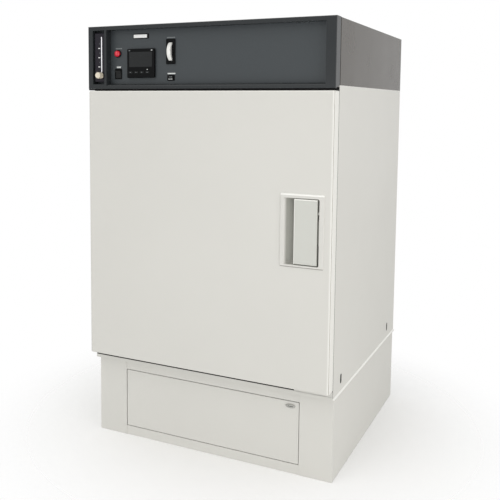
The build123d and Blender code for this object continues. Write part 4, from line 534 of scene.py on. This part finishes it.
def shade_plates(form):
    """Flat plates with round ends, one in each slot."""
    z = middle("slot_cups").z
    for y in (cups_low.y + CUP_HALF, cups_high.y - CUP_HALF):
        outline = []
        for end, first in ((1, 0), (-1, 180)):
            for step in range(SHADE_PLATE_STEPS + 1):
                turn = math.radians(first + 180 * step / SHADE_PLATE_STEPS)
                outline.append((y + SHADE_PLATE_HALF * math.cos(turn),
                                z + end * SHADE_PLATE_REACH + SHADE_PLATE_HALF * math.sin(turn)))
        for side in (shell_low.x, shell_high.x):
            outward = math.copysign(1, side)
            drawn(form, outline, side - SHADE_PLATE_FRONT * outward, side - SHADE_PLATE_BACK * outward, "x")


piece("slot_shade_plates", shade_plates, rubber, "cabinet")

# Black plate in the slot of the oval lock, as painted shade in the slot
SLOT_SHADE_WIDTH = 15.5 * MM
SLOT_SHADE_HEIGHT = 1.6 * MM
SLOT_SHADE_FROM_RIGHT = 16.5 * MM
SLOT_SHADE_DEPTH = 2 * MM
lock_low, lock_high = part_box("panel_lock")
piece("lock_slot_shade", lambda form: tablet(form, lock_high.x - SLOT_SHADE_FROM_RIGHT, lock_low.y + SLOT_SHADE_DEPTH,
                                       middle("panel_lock").z, SLOT_SHADE_WIDTH, SLOT_SHADE_HEIGHT, PRINT),
      black_abs, "panel_lock")


# Heads on the hinge leaves and ribs round the thumbwheel, by geometry nodes

def node_tree(name, sockets):
    """Empty geometry node tree with the given inputs (name, kind, value)."""
    tree = bpy.data.node_groups.new(name, "GeometryNodeTree")
    tree.interface.new_socket("Geometry", in_out="INPUT", socket_type="NodeSocketGeometry")
    tree.interface.new_socket("Geometry", in_out="OUTPUT", socket_type="NodeSocketGeometry")
    for label, kind, value in sockets:
        socket = tree.interface.new_socket(label, in_out="INPUT", socket_type=kind)
        if value is not None:
            socket.default_value = value
    return tree


def finish_tree(tree, last, output, source):
    """Realizes the instances, sets the material and ends the tree."""
    solid = add(tree, "GeometryNodeRealizeInstances", links=[("Geometry", last, output)])
    coat = add(tree, "GeometryNodeSetMaterial",
               links=[("Geometry", solid, "Geometry"), ("Material", source, "Material")])
    add(tree, "NodeGroupOutput", links=[("Geometry", coat, "Geometry")])


def grown(name, tree, values, body, points):
    """Plain mesh that the tree makes on a mesh of points, riding on a body."""
    mesh = bpy.data.meshes.new(name + "_points")
    mesh.from_pydata(points, [], [])
    carrier = bpy.data.objects.new(name + "_points", mesh)
    bpy.context.scene.collection.objects.link(carrier)
    modifier = carrier.modifiers.new("grow", "NODES")
    modifier.node_group = tree
    for item in tree.interface.items_tree:
        if item.in_out == "INPUT" and item.name in values:
            modifier[item.identifier] = values[item.name]
    bpy.context.view_layer.update()
    graph = bpy.context.evaluated_depsgraph_get()
    result = bpy.data.meshes.new_from_object(carrier.evaluated_get(graph))
    bpy.data.objects.remove(carrier)
    mount(name, result, body)


# Screw heads: a low dome on each point, turned to face the given way
head_tree = node_tree("screw_heads", [("Radius", "NodeSocketFloat", 0.003),
                                      ("Height", "NodeSocketFloat", 0.0016),
                                      ("Facing", "NodeSocketRotation", None),
                                      ("Material", "NodeSocketMaterial", None)])
ends = add(head_tree, "NodeGroupInput")
dome = add(head_tree, "GeometryNodeMeshUVSphere", inputs={"Segments": 20, "Rings": 8},
           links=[("Radius", ends, "Radius")])
ratio = add(head_tree, "ShaderNodeMath", {"operation": "DIVIDE"},
            links=[(0, ends, "Height"), (1, ends, "Radius")])
flat = add(head_tree, "ShaderNodeCombineXYZ", inputs={"X": 1.0, "Y": 1.0}, links=[("Z", ratio, "Value")])
low_dome = add(head_tree, "GeometryNodeTransform",
               links=[("Geometry", dome, "Mesh"), ("Scale", flat, "Vector")])
heads = add(head_tree, "GeometryNodeInstanceOnPoints",
            links=[("Points", ends, "Geometry"), ("Instance", low_dome, "Geometry"),
                   ("Rotation", ends, "Facing")])
finish_tree(head_tree, heads, "Instances", ends)

# Two heads on each of the two hinges: on the door's leaf near its front, on the cabinet's near its back
SIDEWAYS = (0.0, math.radians(-90), 0.0)
HINGE_LENGTH = 80 * MM
LEAF_FACE = 11.3 * MM
HEADS_UP = (14 * MM, 66 * MM)
FROM_FRONT = 9.8 * MM
FROM_BACK = 22 * MM
for node, body in (("door_hinge_leaves", "door"), ("cabinet_hinge_leaves", "cabinet")):
    low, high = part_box(node)
    heads_y = low.y + FROM_FRONT if body == "door" else high.y - FROM_BACK
    spots = [(low.x + LEAF_FACE, heads_y, foot + up) for foot in (low.z, high.z - HINGE_LENGTH)
             for up in HEADS_UP]
    grown(node + "_heads", head_tree, {"Radius": 4.5 * MM, "Height": 1.8 * MM, "Facing": SIDEWAYS,
                                       "Material": zinc}, body, spots)

# Ribs: one thin round bar on every point of a ring, along the ring's axis
rib_tree = node_tree("wheel_ribs", [("Ribs", "NodeSocketInt", 48), ("Ring radius", "NodeSocketFloat", 0.03),
                                    ("Rib radius", "NodeSocketFloat", 0.0006),
                                    ("Rib length", "NodeSocketFloat", 0.01),
                                    ("Material", "NodeSocketMaterial", None)])
ends = add(rib_tree, "NodeGroupInput")
ring = add(rib_tree, "GeometryNodeMeshCircle",
           links=[("Vertices", ends, "Ribs"), ("Radius", ends, "Ring radius")])
bar = add(rib_tree, "GeometryNodeMeshCylinder", inputs={"Vertices": 8},
          links=[("Radius", ends, "Rib radius"), ("Depth", ends, "Rib length")])
bars = add(rib_tree, "GeometryNodeInstanceOnPoints",
           links=[("Points", ring, "Mesh"), ("Instance", bar, "Mesh")])
level = add(rib_tree, "GeometryNodeTransform", inputs={"Rotation": (0.0, math.radians(90), 0.0)},
            links=[("Geometry", bars, "Instances")])
around = add(rib_tree, "GeometryNodeInstanceOnPoints",
             links=[("Points", ends, "Geometry"), ("Instance", level, "Geometry")])
finish_tree(rib_tree, around, "Instances", ends)
wheel_low, wheel_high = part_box("dial_wheel")
grown("dial_ribs", rib_tree, {"Ribs": 54, "Ring radius": (wheel_high.z - wheel_low.z) / 2,
                              "Rib radius": 0.6 * MM, "Rib length": 11.5 * MM, "Material": white_abs},
      "dial_wheel", [middle("dial_wheel")])


# Stage: pale floor that fades out, soft lamps and white surroundings

FLOOR_HALF = 8
FLOOR_DROP = 0.5 * MM
floor_mesh = bpy.data.meshes.new("floor")
floor_form = bmesh.new()
bmesh.ops.create_grid(floor_form, x_segments=1, y_segments=1, size=FLOOR_HALF)
floor_form.to_mesh(floor_mesh)
floor_form.free()
floor = bpy.data.objects.new("floor", floor_mesh)
floor.location.z = -FLOOR_DROP
bpy.context.scene.collection.objects.link(floor)
floor_paint, floor_shader = surface("floor_pale", Roughness=0.8, Base_Color=linear("#FFFFFF"),
                                    Specular_IOR_Level=0.1)
place = add(floor_paint, "ShaderNodeTexCoord")
reach = add(floor_paint, "ShaderNodeVectorMath", {"operation": "LENGTH"}, links=[(0, place, "Object")])
fade = add(floor_paint, "ShaderNodeMapRange", {"interpolation_type": "SMOOTHSTEP"},
           inputs={"From Min": 0.3, "From Max": 1.1}, links=[("Value", reach, "Value")])
clear = add(floor_paint, "ShaderNodeBsdfTransparent")
camera_ray = add(floor_paint, "ShaderNodeLightPath")
seen = add(floor_paint, "ShaderNodeMath", {"operation": "MULTIPLY"},
           links=[(0, fade, "Result"), (1, camera_ray, "Is Camera Ray")])
blend = add(floor_paint, "ShaderNodeMixShader",
            links=[(0, seen, "Value"), (1, floor_shader, "BSDF"), (2, clear, "BSDF")])
floor_end = floor_paint.node_tree.nodes["Material Output"]
floor_paint.node_tree.links.new(blend.outputs["Shader"], floor_end.inputs["Surface"])
floor_mesh.materials.append(floor_paint)

# Surroundings: a soft pale tone for the light, and plain white where a ray meets them directly
world = bpy.data.worlds.new("studio")
bpy.context.scene.world = world
world.use_nodes = True
sky = world.node_tree
soft = sky.nodes["Background"]
soft.inputs["Color"].default_value = linear("#F4F4F2")
soft.inputs["Strength"].default_value = 0.8
white = add(sky, "ShaderNodeBackground", inputs={"Color": linear("#FFFFFF"), "Strength": 1.0})
path = add(sky, "ShaderNodeLightPath")
either = add(sky, "ShaderNodeMath", {"operation": "MAXIMUM"},
             links=[(0, path, "Is Camera Ray"), (1, path, "Is Glossy Ray")])
any_of = add(sky, "ShaderNodeMath", {"operation": "MAXIMUM"},
             links=[(0, either, "Value"), (1, path, "Is Transmission Ray")])
choose = add(sky, "ShaderNodeMixShader",
             links=[(0, any_of, "Value"), (1, soft, "Background"), (2, white, "Background")])
sky.links.new(choose.outputs["Shader"], sky.nodes["World Output"].inputs["Surface"])


def lamp(name, place, target, size, power, tone):
    """Square soft lamp aimed at a point, with its size in metres and its power in watts."""
    light = bpy.data.lights.new(name, "AREA")
    light.shape = "SQUARE"
    light.size = size
    light.energy = power
    light.color = linear(tone)[:3]
    holder = bpy.data.objects.new(name, light)
    holder.location = place
    holder.rotation_euler = (Vector(target) - Vector(place)).to_track_quat("-Z", "Y").to_euler()
    bpy.context.scene.collection.objects.link(holder)


# Main light from above on the left, a fill on the cabinet's side and a low one for the plinth's front
lamp("key_overhead", (-0.8, -2.6, 3.6), (0, -0.3, 0.7), 2.6, 25, "#FFFCF8")
lamp("fill_right", (3.1, -1.8, 0.7), (0.3, 0, 0.3), 2.2, 34, "#FFFCFA")
lamp("fill_low", (-0.4, -3.2, 0.4), (0, 0, 0.1), 1.6, 13, "#FBFCFF")

# Camera at the photograph's place, solved from the edges of the box
camera_data = bpy.data.cameras.new("camera")
camera_data.sensor_width = 36.0
camera_data.lens = 52.783
camera_data.shift_x = 0.06688
camera_data.shift_y = -0.15681
camera = bpy.data.objects.new("camera", camera_data)
right = Vector((0.89652905, 0.44292764, 0.00712487))
up = Vector((-0.04651837, 0.07813855, 0.99585662))
forward = Vector((-0.4405357, 0.89314583, -0.09065775))
turn = Matrix((right, up, -forward)).transposed().to_4x4()
camera.matrix_world = Matrix.Translation((1.08276816, -2.51260337, 1.18194064)) @ turn
bpy.context.scene.collection.objects.link(camera)
bpy.context.scene.camera = camera
bpy.context.scene.view_settings.view_transform = "Standard"
